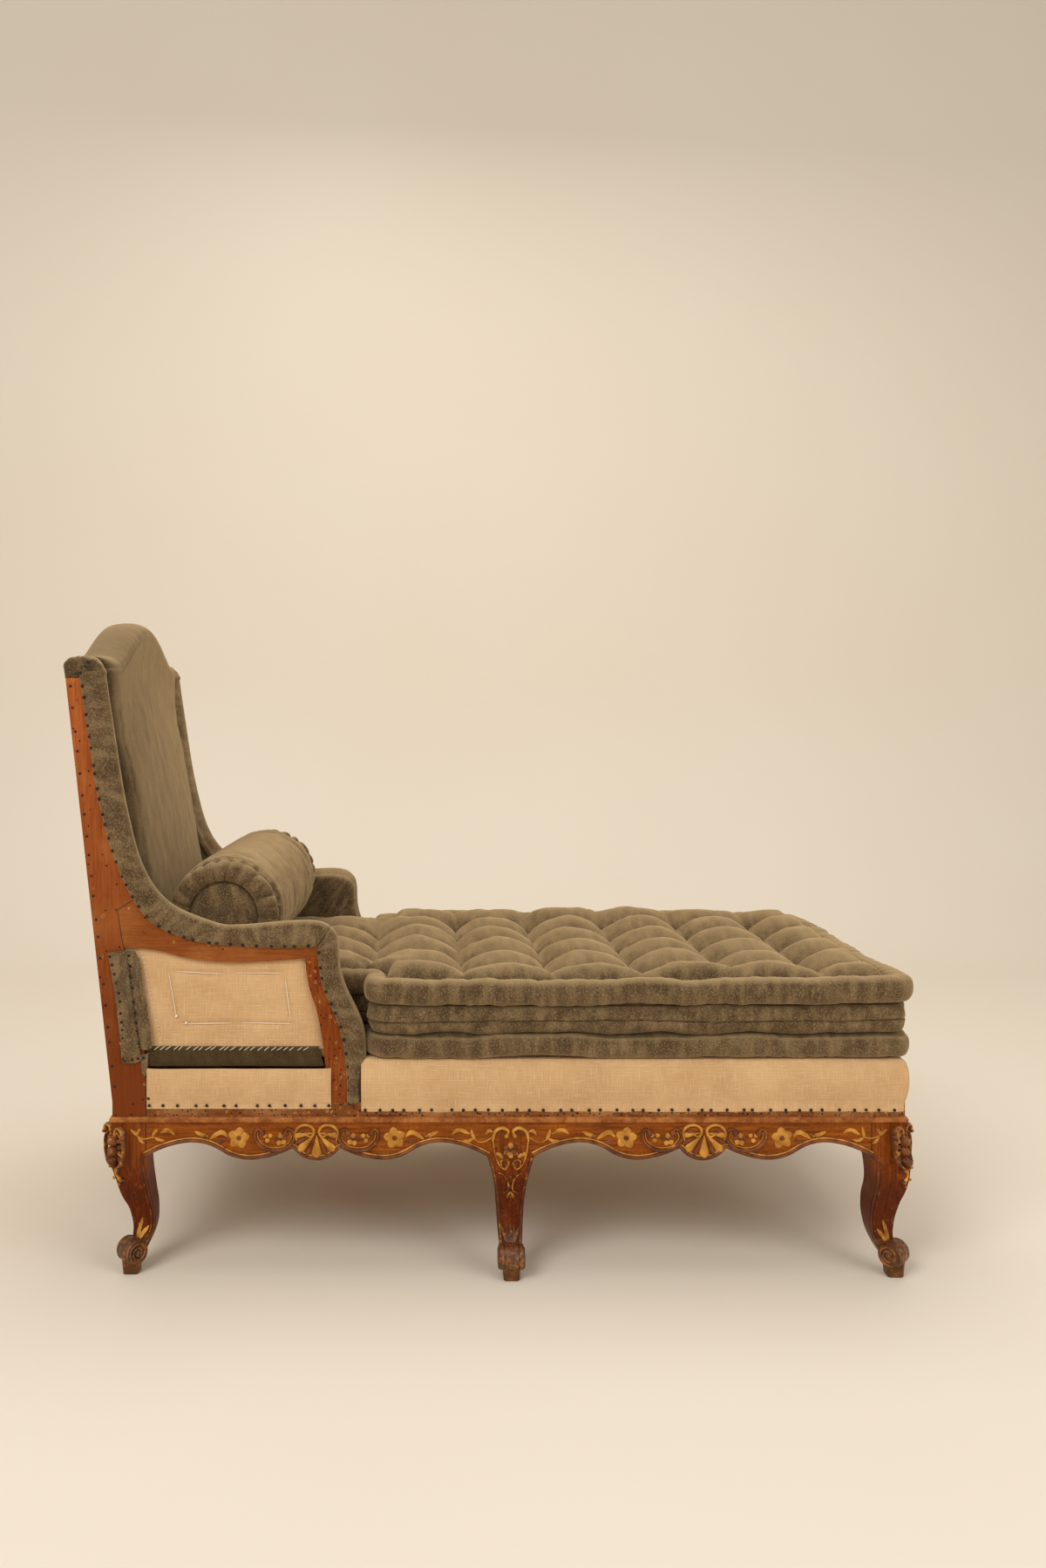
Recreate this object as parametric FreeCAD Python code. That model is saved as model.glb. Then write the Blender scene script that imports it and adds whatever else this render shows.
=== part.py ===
import FreeCAD
import Part
import math
import os

# Chaise longue, half upholstered. Millimetres, +Z up.
# +X runs from the head to the foot, -Y is the sitter's right, seen from the front.
# The origin is on the floor under the middle of the whole length and width.

# Frame
HEAD_X = -706.0            # rear face of the back posts at the top of the seat rails
FOOT_X = 779.5             # outer face of the foot rail
HALF_WIDTH = 380.0         # outer faces of the side rails
LEG_TOP = 221.0            # underside of the rails at the legs
RAIL_DEPTH = 101.0         # leg top to rail top
RAIL_THICK = 34.0
BLOCK = 63.0               # square head of a corner leg
BEAD_HIGH = 12.0           # moulded bead round the rails
BEAD_OUT = 5.0
BEAD_DROP = 38.0           # rail top to the underside of the bead
TENON_THICK = 12.0
TENON_LONG = 30.0
TENON_LOW = 15.0           # leg top to the underside of the tenons
RAIL_TOP = LEG_TOP + RAIL_DEPTH
BEAD_Z = RAIL_TOP - BEAD_DROP

# Scalloped lower edge of the rails, one bay: share of the half bay, rise above LEG_TOP
MIDDLE_X = 40.5            # centre of the middle leg
MIDDLE_SHOULDER = 44.0     # half width across its shoulders
MIDDLE_TONGUE = 21.0       # half width of its head in the rail
ARCH = (0.77, 26.0)
SCALLOP = (0.35, -5.0)
CUSP = (0.138, 16.0)
SHELL_DROP = 7.0

# Legs: height as a share of LEG_TOP, half width, outward shift of the middle
FOOT_LEG = [(0.90, 32.8, 5.0), (0.74, 30.0, 4.0), (0.58, 27.0, -4.0), (0.42, 23.0, -8.0),
            (0.28, 19.0, -5.5), (0.17, 17.0, 4.0)]
REAR_LEG = [(0.93, 32.0, 0.0), (0.83, 30.5, -3.0), (0.67, 28.0, -9.5), (0.48, 22.5, -20.0),
            (0.32, 19.5, -21.5), (0.17, 17.0, -10.0)]
MIDDLE_LEG = [(0.90, 37.0, 4.0), (0.71, 29.0, 0.0), (0.50, 24.8, -6.0), (0.32, 22.5, 6.0),
              (0.17, 19.0, 34.0)]
MIDDLE_DEEP = 0.82         # depth of the middle leg as a share of its width
FOOT_TOE = (10.0, 31.0)    # shift of the toe scroll along X and Y
REAR_TOE = (-3.0, 18.0)
MIDDLE_TOE = 46.0
SCROLL_R = 21.0
SCROLL_WIDE = 40.0
SCROLL_Z = 40.0
GROOVE_DEEP = 3.0
GROOVE_WIDE = 3.0
PAD_TOP = 17.0             # half widths of the small pad under the scroll
PAD_FLOOR = 14.5
PAD_CORNER = 4.0           # cut off the pad's corners

# Back and arms
LEAN = 0.1106              # backward lean of the posts, run over rise
POST_TALL = 796.0          # rail top to post top
BOARD = 42.0               # thickness of posts, wings, arm rails and stumps
ARM_X = -284.0             # front of the arm at its corner
ARM_TALL = 339.0           # rail top to the top of the arm's velvet
ARM_PAD = 23.0             # inside arm padding
EDGE_PAD = 10.0            # padding over the edges of the wing and arm
VELVET = 3.0               # velvet with its wadding on the outer face
TOP_RAIL_THICK = 30.0      # crest rail and lower back rail
RAIL_SET = 3.0             # those rails ahead of the rear faces of the posts
CREST_RAIL_HIGH = 55.0
BACK_STRAPS = 4
CREST_DEEP = 82.0
CREST_HIGH = 42.0
CREST_OVER = 3.5           # crest cover behind the posts
CREST_RISE = 79.0          # middle of the crest over its ears
CREST_REACH = 262.0        # half width of the raised part
CREST_FULL = 0.65          # under 1, the shoulders of the rise are fuller
CREST_STEPS = 8            # sections drawn on each side of the middle
CREST_RAIL_BOW = 0.7       # share of the rise that the crest rail's lower edge follows
BACK_PANEL_SET = 15.0      # outside back panel inside the edges of the back rails
BACK_PAD = 53.0            # inside back padding in front of the frame, at the seat
BACK_PAD_TOP = 36.0
BACK_CROWN = 12.0
# Section of the crest cover, as shares of its depth and height
CREST_FORM = [(0.0, 0.0), (-0.068, 0.5), (0.07, 0.85), (0.45, 1.0), (0.86, 0.82), (0.97, 0.45), (0.93, 0.0)]

# Side outline of wing, arm and stump. Back points: distance in front of the post's
# leaning rear face, height over the rail top. Arm points: from the arm's front top corner.
WING_EDGE = [(74.6, 796.0), (79.0, 672.0), (86.0, 551.0), (105.0, 439.0), (147.0, 374.0), (224.0, 337.0)]
ARM_EDGE = [(-187.0, -8.0), (-84.0, 0.0), (-38.0, -1.0), (-14.0, -12.0), (-1.0, -34.0), (2.0, -86.0),
            (14.0, -128.0), (45.0, -196.0), (52.0, -255.0), (45.5, -300.0), (42.0, -339.0)]
WING_TACKS = [(27.0, 789.0), (31.0, 680.0), (36.5, 569.0), (56.5, 448.0), (103.0, 345.0), (184.0, 303.0)]
ARM_TACKS = [(-174.0, -47.0), (-110.0, -50.0), (-38.7, -48.0)]
STUMP_TACKS = [(-38.7, -48.0), (-35.0, -85.0), (-27.0, -125.0), (-1.0, -186.0), (12.0, -240.0),
               (17.7, -296.0), (18.0, -339.0)]
ARM_UNDER_BACK = [(52.7, 291.5), (108.0, 286.0), (185.0, 268.0)]
ARM_UNDER = [(-184.0, -77.0), (-143.0, -75.0), (-60.8, -69.0)]
STUMP_REAR = [(-60.8, -69.0), (-56.0, -108.0), (-35.0, -184.0), (-24.0, -260.0), (-20.0, -339.0)]
POST_FRONT = [(63.5, 0.0), (71.8, 75.0), (52.7, 291.5), (49.2, 361.0), (80.3, 379.0), (130.0, 409.0)]
STUMP_TENON = (12.0, 40.0) # ends of the stump's tenon ahead of its rear face

# Webbing, hessian and stuffing
STRAP_WIDE = 50.0
STRAP_THICK = 1.5
HESSIAN = 1.5
WEB_SET = 10.0             # webbing and canvas inside the faces of the rails
LONG_STRAPS = 5
HEAD_STRAPS = 3            # across the seat, behind and ahead of the stumps
FOOT_STRAPS = 8
PANEL_SET = 9.0            # arm panel behind the face of the frame
PLATFORM_HIGH = 83.0       # rail top to platform top
PLATFORM_BULGE = 7.0
# Platform sides: share of the height, share of the bulge
PLATFORM_FORM = [(0.0, 0.0), (0.25, 0.8), (0.55, 1.0), (0.85, 0.4), (1.0, -1.0)]
DECK_CORNER = 28.0
SKIRT_LOW = 17.0           # hessian turned down over the rails
CUT_GAP = 2.0              # platform to the posts and stumps it is cut round
SIDE_GAP = 1.0             # platform to the inner faces of the arms
STRIP_LOW = 66.0           # rail top to the underside of the pull strip
STRIP_HIGH = 38.0
STRIP_ROUND = 4.5
FLAP_LOW = 80.0            # rail top to the bottom of the post flap
FLAP_HIGH = 207.0
# Outline of the flap: distance ahead of the post's front edge, share of its height
FLAP_EDGE = [(-30.0, 0.0), (-30.0, 1.0), (20.0, 1.0), (22.0, 0.81), (20.0, 0.5), (10.0, 0.08)]

# Mattress
MATTRESS_FOOT_X = 803.0
MATTRESS_OVER = 10.0       # wide part past the outer faces of the rails
MATTRESS_NOTCH_X = -230.0  # rear edge of the wide part, ahead of the stumps
MATTRESS_HIGH = 148.0
ARM_GAP = 5.0              # mattress to inside arm
TUFT_COLUMNS = 6           # in the wide part
TUFT_ROWS = 6
ROW_PITCH = 130.0
TUFT_DIP = 22.0            # tufts below the crowns
SEAM_DIP = 11.0
PUFF_STEPS = 2
PUFF_END = 0.6             # crown of a puff beside its tufts, as a share of its middle
QUILT_DEEP = 55.0          # tufted top, down into the case
# Sides of the case: share of the height, share of the crease
CASE_FORM = [(0.0, 1.0), (0.08, 0.0), (0.24, 0.2), (0.32, 1.0), (0.38, 0.5), (0.64, 0.5),
             (0.70, 1.0), (0.78, 0.1), (0.94, 0.2), (1.0, 1.5)]
ROLL_CREASE = 8.0          # depth of the creases beside the stitched rolls
QUILT_SET = 26.0           # tufted top inside the rolled edge
ROLL_CORNER = 22.0
HEAD_GAP = 6.0             # mattress to inside back
LIE_GAP = 0.4              # soft pieces that only lie on each other

# Bolster
BOLSTER_X = -504.0
BOLSTER_R = 104.0
BOLSTER_GAP = 7.0          # its ends to the inside arms
BOLSTER_RISE = 98.0        # axis over the mattress top
# Share of the half length, share of the radius: disc, stitched roll, crease, body
BOLSTER_FORM = [(0.96, 0.62), (1.0, 0.80), (0.97, 0.98), (0.91, 0.99), (0.88, 0.94), (0.82, 1.0)]

# Inner frame
CROSS_RAIL_HIGH = 60.0
CROSS_RAIL_THICK = 32.0
CROSS_RAIL_LOW = 25.0      # rail top to the top of the cross rail
CORNER_BLOCK = 70.0
CORNER_BLOCK_HIGH = 51.0
CORNER_BLOCK_LOW = 20.0    # rail top to the top of the corner blocks
LOWER_RAIL_LOW = 118.0     # lower back rail over the rail top
LOWER_RAIL_HIGH = 60.0
TACK_RAIL_HIGH = 36.0
TACK_RAIL_THICK = 25.0

PLATFORM_TOP = RAIL_TOP + PLATFORM_HIGH
POST_TOP = RAIL_TOP + POST_TALL
ARM_TOP = RAIL_TOP + ARM_TALL
INNER = HALF_WIDTH - BOARD         # inner faces of posts and arm boards
ARM_INNER = INNER - ARM_PAD        # inner faces of the arm padding
MATTRESS_HALF_WIDTH = HALF_WIDTH + MATTRESS_OVER
BOLSTER_HALF = ARM_INNER - BOLSTER_GAP
OUT = 10000.0                      # well outside the object
TOUCH = 0.01                       # points closer than this are one


def vec(x, y, z):
    return FreeCAD.Vector(x, y, z)


def lean_x(z):
    """X of the leaning rear face of the posts at height z."""
    return HEAD_X - LEAN * (z - RAIL_TOP)


def back_points(pairs):
    """Points given in front of the leaning rear face, as (x, z)."""
    return [(lean_x(RAIL_TOP + rise) + ahead, RAIL_TOP + rise) for ahead, rise in pairs]


def arm_points(pairs):
    """Points given from the arm's front top corner, as (x, z)."""
    return [(ARM_X + ahead, ARM_TOP + rise) for ahead, rise in pairs]


def inset(points, depth):
    """Moves an outline that runs from head to foot inwards, square to itself."""
    moved = []
    for i, (x, z) in enumerate(points):
        ax, az = points[max(i - 1, 0)]
        bx, bz = points[min(i + 1, len(points) - 1)]
        run = math.hypot(bx - ax, bz - az)
        moved.append((x + depth * (bz - az) / run, z - depth * (bx - ax) / run))
    return moved


def at_xz(points, y=0.0):
    return [vec(x, y, z) for x, z in points]


def lines(vectors):
    return [Part.makeLine(a, b) for a, b in zip(vectors, vectors[1:])]


def arc(a, b, c):
    return Part.Arc(a, b, c).toShape()


def arc_from(a, along, b):
    """Arc from a to b that leaves a along a unit vector, or the line where that is the chord."""
    chord = b - a
    ahead = chord * (1.0 / chord.Length)
    aside = along - ahead * along.dot(ahead)
    if aside.Length * chord.Length < TOUCH:
        return Part.makeLine(a, b)
    middle = (a + b) * 0.5 + aside * (0.5 * chord.Length / (1.0 + along.dot(ahead)))
    return arc(a, middle, b)


def smooth(points):
    """Curve through the points, of arcs that run into each other: two between each pair."""
    chords = [b - a for a, b in zip(points, points[1:])]
    units = [c * (1.0 / c.Length) for c in chords]
    tangents = [(ua * cb.Length + ub * ca.Length).normalize()
                for ua, ub, ca, cb in zip(units, units[1:], chords, chords[1:])]
    tangents = [bounced(tangents[0], units[0])] + tangents + [bounced(tangents[-1], units[-1])]
    edges = []
    for a, b, ta, tb in zip(points, points[1:], tangents, tangents[1:]):
        chord = b - a
        along = chord.dot(ta + tb)
        turn = 2.0 * (1.0 - ta.dot(tb))
        square = chord.dot(chord)
        if turn < TOUCH * TOUCH:
            reach = square / (2.0 * along)
        else:
            reach = (math.sqrt(along * along + turn * square) - along) / turn
        joint = (a + ta * reach + b - tb * reach) * 0.5
        edges += [arc_from(a, ta, joint), arc_from(b, tb * -1.0, joint)]
    return edges


def bounced(tangent, unit):
    """Tangent at the free end of an arc, from that at its other end and its chord."""
    return unit * (2.0 * tangent.dot(unit)) - tangent


def plate(edges, y0, y1):
    """Plate between two Y planes, of an outline drawn at Y = 0."""
    face = Part.Face(Part.Wire(Part.__sortEdges__(edges)))
    face.translate(vec(0, y0, 0))
    return face.extrude(vec(0, y1 - y0, 0))


def box(x0, x1, y0, y1, z0, z1):
    return Part.makeBox(x1 - x0, y1 - y0, z1 - z0, vec(x0, y0, z0))


def mirrored(shape):
    return shape.mirror(vec(0, 0, 0), vec(0, 1, 0))


def both_sides(name, shape):
    """The right piece, and its mirror image on the left."""
    NODES[name + "_right"] = shape
    NODES[name + "_left"] = mirrored(shape)


NODES = {}


# Legs

def chamfered_square(x, y, z, half):
    """Corners of a square with its corners cut off, back to the first."""
    cut = half - PAD_CORNER
    turns = ((half, cut), (cut, half), (-cut, half), (-half, cut), (-half, -cut), (-cut, -half),
             (cut, -half), (half, -cut), (half, cut))
    return [vec(x + dx, y + dy, z) for dx, dy in turns]


def tapered(low, high):
    """Solid between two outlines whose sides are parallel, one for one."""
    sides = [Part.makePolygon([a, b, d, c, a]) for a, b, c, d in zip(low, low[1:], high, high[1:])]
    faces = [Part.Face(wire) for wire in sides + [Part.makePolygon(low), Part.makePolygon(high)]]
    return Part.makeSolid(Part.makeShell(faces))


def toe_scroll(x, y, out_x, out_y, wide):
    """Scrolled toe with a spiral groove on both faces, on its small tapered pad."""
    across = vec(-out_y, out_x, 0)
    centre = vec(x, y, SCROLL_Z)
    roll = Part.makeCylinder(SCROLL_R, wide, centre - across * (wide / 2), across)
    for side in (1, -1):
        face_at = centre + across * (side * (wide / 2 - GROOVE_DEEP))
        groove = spiral_band(face_at, vec(out_x, out_y, 0) * side, SCROLL_R - 2 * GROOVE_WIDE)
        roll = roll.cut(groove.extrude(across * (side * 2 * GROOVE_DEEP)))
    pad = tapered(chamfered_square(x, y, 0, PAD_FLOOR),
                  chamfered_square(x, y, SCROLL_Z - SCROLL_R / 2, PAD_TOP))
    return roll.fuse(pad)


def spiral_band(centre, out, radius):
    """Face between two spirals of half circles, drawn inwards from radius."""
    up = vec(0, 0, 1)
    outer, inner = [], []
    side = 1
    step = 2 * GROOVE_WIDE
    middle = centre
    while radius > step:
        for edges, r in ((outer, radius), (inner, radius - GROOVE_WIDE)):
            edges.append(arc(middle + out * (side * r), middle + up * (side * r), middle - out * (side * r)))
        middle = middle - out * (side * step / 2)
        radius -= step / 2
        side = -side
    ends = [Part.makeLine(outer[0].firstVertex().Point, inner[0].firstVertex().Point),
            Part.makeLine(outer[-1].lastVertex().Point, inner[-1].lastVertex().Point)]
    return Part.Face(Part.Wire(Part.__sortEdges__(outer + inner + ends)))


def sawn_profile(levels, place):
    """Side outline of a leg from its head to its toe, as two smooth curves closed by lines."""
    outer = [place(out + half, share * LEG_TOP) for share, half, out in levels]
    inner = [place(out - half, share * LEG_TOP) for share, half, out in levels]
    ends = [Part.makeLine(outer[0], inner[0]), Part.makeLine(outer[-1], inner[-1])]
    return Part.Face(Part.Wire(Part.__sortEdges__(smooth(outer) + smooth(inner) + ends)))


def sawn_leg(x, y, sign_x, along_x, along_y):
    """Leg sawn from both sides: what two square profiles leave of the blank."""
    reach = 4 * BLOCK
    front = sawn_profile(along_x, lambda out, z: vec(x + sign_x * out, y - reach / 2, z))
    side = sawn_profile(along_y, lambda out, z: vec(x - reach / 2, y - out, z))
    return front.extrude(vec(0, reach, 0)).common(side.extrude(vec(reach, 0, 0)))


def corner_leg(x, y, sign_x, levels, toe):
    """Cabriole leg under a square head, turned outwards on the diagonal of its corner."""
    head = box(x - BLOCK / 2, x + BLOCK / 2, y - BLOCK / 2, y + BLOCK / 2, LEG_TOP, RAIL_TOP)
    reach = BEAD_OUT if sign_x > 0 else 0
    bead = box(x - BLOCK / 2 - (BEAD_OUT - reach), x + BLOCK / 2 + reach,
               y - BLOCK / 2 - BEAD_OUT, y + BLOCK / 2, BEAD_Z, BEAD_Z + BEAD_HIGH)
    outer = [e for e in bead.Edges if bead_edge(e, x, y, sign_x)]
    bead = bead.makeFillet(BEAD_OUT * 0.99, outer)
    along_x = [(1.0, BLOCK / 2, 0.0)] + levels
    along_y = [(share, half, out + (toe[1] - toe[0]) * (1 - share) ** 3) for share, half, out in along_x]
    leg = sawn_leg(x, y, sign_x, along_x, along_y)
    scroll_x = x + sign_x * toe[0]
    scroll_y = y - toe[1]
    half = math.sqrt(0.5)
    foot = toe_scroll(scroll_x, scroll_y, sign_x * half, -half, SCROLL_WIDE)
    return head.fuse([bead, leg, foot]).removeSplitter()


def bead_edge(edge, x, y, sign_x):
    """True for the level outer edges of a bead round a corner leg."""
    middle = edge.BoundBox.Center
    level = edge.BoundBox.ZLength < 1
    on_side = middle.y < y - BLOCK / 2 - BEAD_OUT / 2
    on_end = (middle.x - x) * sign_x > BLOCK / 2 + BEAD_OUT / 2
    return level and (on_side or on_end)


def middle_leg():
    x = MIDDLE_X
    y = -HALF_WIDTH + BLOCK / 2
    z = LEG_TOP
    rise = MIDDLE_SHOULDER - MIDDLE_TONGUE
    head = [(-MIDDLE_SHOULDER, z), (-MIDDLE_TONGUE, z + rise), (-MIDDLE_TONGUE, BEAD_Z),
            (MIDDLE_TONGUE, BEAD_Z), (MIDDLE_TONGUE, z + rise), (MIDDLE_SHOULDER, z)]
    outline = lines(at_xz([(x + dx, dz) for dx, dz in head + head[:1]]))
    along_x = [(1.0, MIDDLE_SHOULDER, 0.0)] + [(share, half, 0.0) for share, half, _ in MIDDLE_LEG]
    along_y = [(1.0, BLOCK / 2, 0.0)] + [(share, half * MIDDLE_DEEP, out) for share, half, out in MIDDLE_LEG]
    leg = sawn_leg(x, y, 1, along_x, along_y)
    foot = toe_scroll(x, y - MIDDLE_TOE, 0, -1, SCROLL_WIDE + 2 * GROOVE_DEEP)
    tongue = plate(outline, -HALF_WIDTH, -HALF_WIDTH + RAIL_THICK)
    return tongue, tongue.fuse([leg, foot]).removeSplitter()


# Rails

def bay_edge(middle, half):
    """Scalloped lower edge of one bay, from its left leg to its right leg, as (s, z)."""
    up = [(1.0, 0.0), ARCH, SCALLOP, CUSP]
    right = [(middle + share * half, LEG_TOP + rise) for share, rise in up]
    left = [(2 * middle - s, z) for s, z in right]
    return left, right


def bay_curves(middle, half, to_vector):
    left, right = bay_edge(middle, half)
    cusps = [to_vector(*left[-1]), to_vector(middle, LEG_TOP - SHELL_DROP), to_vector(*right[-1])]
    return smooth([to_vector(*p) for p in left]) + [arc(*cusps)] + smooth([to_vector(*p) for p in right])


def side_rail(tongue):
    y0, y1 = -HALF_WIDTH, -HALF_WIDTH + RAIL_THICK
    head_end = HEAD_X + BLOCK
    foot_end = FOOT_X - BLOCK
    near, far = MIDDLE_X - MIDDLE_SHOULDER, MIDDLE_X + MIDDLE_SHOULDER
    edges = bay_curves((head_end + near) / 2, (near - head_end) / 2, lambda x, z: vec(x, 0, z))
    edges += [Part.makeLine(vec(near, 0, LEG_TOP), vec(far, 0, LEG_TOP))]
    edges += bay_curves((far + foot_end) / 2, (foot_end - far) / 2, lambda x, z: vec(x, 0, z))
    edges += lines([vec(foot_end, 0, LEG_TOP), vec(foot_end, 0, RAIL_TOP),
                    vec(head_end, 0, RAIL_TOP), vec(head_end, 0, LEG_TOP)])
    rail = plate(edges, y0, y1).cut(tongue)
    bead = box(head_end, foot_end, y0 - BEAD_OUT, y0 + BEAD_OUT, BEAD_Z, BEAD_Z + BEAD_HIGH)
    outer = [e for e in bead.Edges if e.BoundBox.XLength > 1 and e.BoundBox.Center.y < y0]
    rail = rail.fuse(bead.makeFillet(BEAD_OUT * 0.99, outer))
    tenon_y = (y0 + y1 - TENON_THICK) / 2
    tenons = [box(x, x + TENON_LONG, tenon_y, tenon_y + TENON_THICK, LEG_TOP + TENON_LOW, BEAD_Z)
              for x in (head_end - TENON_LONG, foot_end)]
    return rail.fuse(tenons).removeSplitter(), tenons


def end_rail(outer_x, sign, scalloped):
    """Rail across the foot or the head, between the heads of the corner legs."""
    half = HALF_WIDTH - BLOCK
    inner_x = outer_x - sign * RAIL_THICK
    x0, x1 = min(outer_x, inner_x), max(outer_x, inner_x)
    if scalloped:
        edges = bay_curves(0, half, lambda y, z: vec(0, y, z))
    else:
        edges = lines([vec(0, -half, LEG_TOP), vec(0, half, LEG_TOP)])
    edges += lines([vec(0, half, LEG_TOP), vec(0, half, RAIL_TOP), vec(0, -half, RAIL_TOP),
                    vec(0, -half, LEG_TOP)])
    face = Part.Face(Part.Wire(Part.__sortEdges__(edges)))
    face.translate(vec(x0, 0, 0))
    rail = face.extrude(vec(RAIL_THICK, 0, 0))
    if scalloped:
        bead = box(x1 - BEAD_OUT, x1 + BEAD_OUT, -half, half, BEAD_Z, BEAD_Z + BEAD_HIGH)
        outer = [e for e in bead.Edges if e.BoundBox.YLength > 1 and e.BoundBox.Center.x > x1]
        rail = rail.fuse(bead.makeFillet(BEAD_OUT * 0.99, outer))
    x = (x0 + x1 - TENON_THICK) / 2
    tenons = [box(x, x + TENON_THICK, y, y + TENON_LONG, LEG_TOP + TENON_LOW, BEAD_Z)
              for y in (-half - TENON_LONG, half)]
    return rail.fuse(tenons).removeSplitter(), tenons


def corner_block(x, y, sx, sy):
    """Triangular glue block in an inner corner of the seat frame."""
    z = RAIL_TOP - CORNER_BLOCK_LOW - CORNER_BLOCK_HIGH
    points = [vec(x, y, z), vec(x + sx * CORNER_BLOCK, y, z), vec(x, y + sy * CORNER_BLOCK, z), vec(x, y, z)]
    return Part.Face(Part.Wire(lines(points))).extrude(vec(0, 0, CORNER_BLOCK_HIGH))


def build_frame():
    leg_y = -HALF_WIDTH + BLOCK / 2
    rear_x = HEAD_X + BLOCK / 2
    foot_x = FOOT_X - BLOCK / 2
    post_region, arm_region, stump_region = regions()
    tongue, middle = middle_leg()
    side, side_tenons = side_rail(tongue)
    foot, foot_tenons = end_rail(FOOT_X, 1, True)
    rear, rear_tenons = end_rail(HEAD_X, -1, False)
    rear_leg = corner_leg(rear_x, leg_y, -1, REAR_LEG, REAR_TOE)
    foot_leg = corner_leg(foot_x, leg_y, 1, FOOT_LEG, FOOT_TOE)
    post = arm_board(post_region)
    rear_post = rear_leg.fuse(post).cut(Part.makeCompound([side_tenons[0], rear_tenons[0]]))
    both_sides("rear_post", rear_post.removeSplitter())
    foot_leg = foot_leg.cut(Part.makeCompound([side_tenons[1], foot_tenons[0]]))
    both_sides("foot_leg", foot_leg)
    both_sides("middle_leg", middle)
    stump_tenon = tenon_under_stump()
    both_sides("side_rail", side.cut(stump_tenon))
    NODES["foot_rail"] = foot
    NODES["rear_rail"] = rear
    both_sides("arm_rail", arm_board(arm_region))
    both_sides("arm_stump", arm_board(stump_region).fuse(stump_tenon).removeSplitter())
    inner_y = HALF_WIDTH - RAIL_THICK
    z1 = RAIL_TOP - CROSS_RAIL_LOW
    NODES["seat_cross_rail"] = box(MIDDLE_X - CROSS_RAIL_THICK / 2, MIDDLE_X + CROSS_RAIL_THICK / 2,
                                   -inner_y, inner_y, z1 - CROSS_RAIL_HIGH, z1)
    head_in = HEAD_X + BLOCK
    foot_in = FOOT_X - BLOCK
    corners = [(head_in, -1, 1), (foot_in, -1, -1), (head_in, 1, 1), (foot_in, 1, -1)]
    NODES["corner_blocks"] = Part.makeCompound(
        [corner_block(x, sy * inner_y, sx, -sy) for x, sy, sx in corners])


# Wing, arm and stump, cut from one side outline

def regions():
    """The outlines that part the side board into post, arm rail and stump."""
    front = back_points(POST_FRONT)
    rear_low = (HEAD_X, RAIL_TOP)
    post = lines(at_xz(front + [(front[-1][0], OUT), (-OUT, OUT), (-OUT, RAIL_TOP), rear_low, front[0]]))
    under = back_points(ARM_UNDER_BACK) + arm_points(ARM_UNDER)
    stump = arm_points(STUMP_REAR)
    seat = (0.0, under[-1][1])
    joint = front[2:]
    arm = smooth(at_xz(under))
    arm += lines(at_xz([under[-1], seat, (0.0, OUT), (joint[-1][0], OUT)] + joint[::-1]))
    low = [(0.0, RAIL_TOP), (stump[-1][0], RAIL_TOP)]
    stump_rear = stump[:-1] + [low[-1]]
    stub = smooth(at_xz(stump_rear))
    stub += lines(at_xz([low[-1], low[0], seat, stump[0]]))
    return post, arm, stub


def edge_points():
    return back_points(WING_EDGE) + arm_points(ARM_EDGE)


def silhouette(points):
    """Side outline closed at the rail top and along the leaning rear face."""
    first, last = points[0], points[-1]
    closing = [last, (last[0], RAIL_TOP), (HEAD_X, RAIL_TOP), (lean_x(POST_TOP), POST_TOP), first]
    closing = [p for p, q in zip(closing, closing[1:] + [None]) if q is None or math.dist(p, q) > TOUCH]
    return smooth(at_xz(points)) + lines(at_xz(closing))


def level_ends(points):
    """The same outline with its ends on the post top and on the rail top."""
    return [(points[0][0], POST_TOP)] + points[1:-1] + [(points[-1][0], RAIL_TOP)]


def arm_board(region):
    wood = silhouette(level_ends(inset(edge_points(), EDGE_PAD)))
    board = plate(wood, -HALF_WIDTH, -INNER)
    piece = board.common(plate(region, -HALF_WIDTH - 1, -INNER + 1))
    return max(piece.Solids, key=lambda s: s.Volume)


def tenon_under_stump():
    x0, x1 = [arm_points(STUMP_REAR)[-1][0] + ahead for ahead in STUMP_TENON]
    y = -HALF_WIDTH + RAIL_THICK / 2
    return box(x0, x1, y - TENON_THICK / 2, y + TENON_THICK / 2, BEAD_Z + BEAD_HIGH, RAIL_TOP)


def wing_border():
    """Velvet border: padding over the board's edge, and a tacked strip down its outer face."""
    outer = level_ends(edge_points())
    wood = level_ends(inset(edge_points(), EDGE_PAD))
    over_edge = plate(silhouette(outer), -HALF_WIDTH, -INNER)
    over_edge = over_edge.cut(plate(silhouette(wood), -HALF_WIDTH - 1, -INNER + 1))
    tacks = smooth(at_xz([(back_points(WING_TACKS)[0][0], POST_TOP)]
                         + back_points(WING_TACKS)[1:] + arm_points(ARM_TACKS)))
    stump = arm_points(STUMP_TACKS)
    stump = stump[:-1] + [(stump[-1][0], RAIL_TOP)]
    tacks += smooth(at_xz(stump))
    ends = lines(at_xz([(outer[0][0], POST_TOP), (back_points(WING_TACKS)[0][0], POST_TOP)]))
    ends += lines(at_xz([stump[-1], outer[-1]]))
    strip = plate(smooth(at_xz(outer)) + tacks + ends, -HALF_WIDTH - VELVET, -HALF_WIDTH)
    return strip.fuse(over_edge).removeSplitter()


def in_arm_frame(blank):
    """What post, arm rail and stump leave of a blank that runs through them: its largest piece."""
    wood = Part.makeCompound([NODES[n] for n in ("rear_post_right", "arm_rail_right", "arm_stump_right")])
    return max(blank.cut(wood).Solids, key=lambda s: s.Volume)


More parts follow.
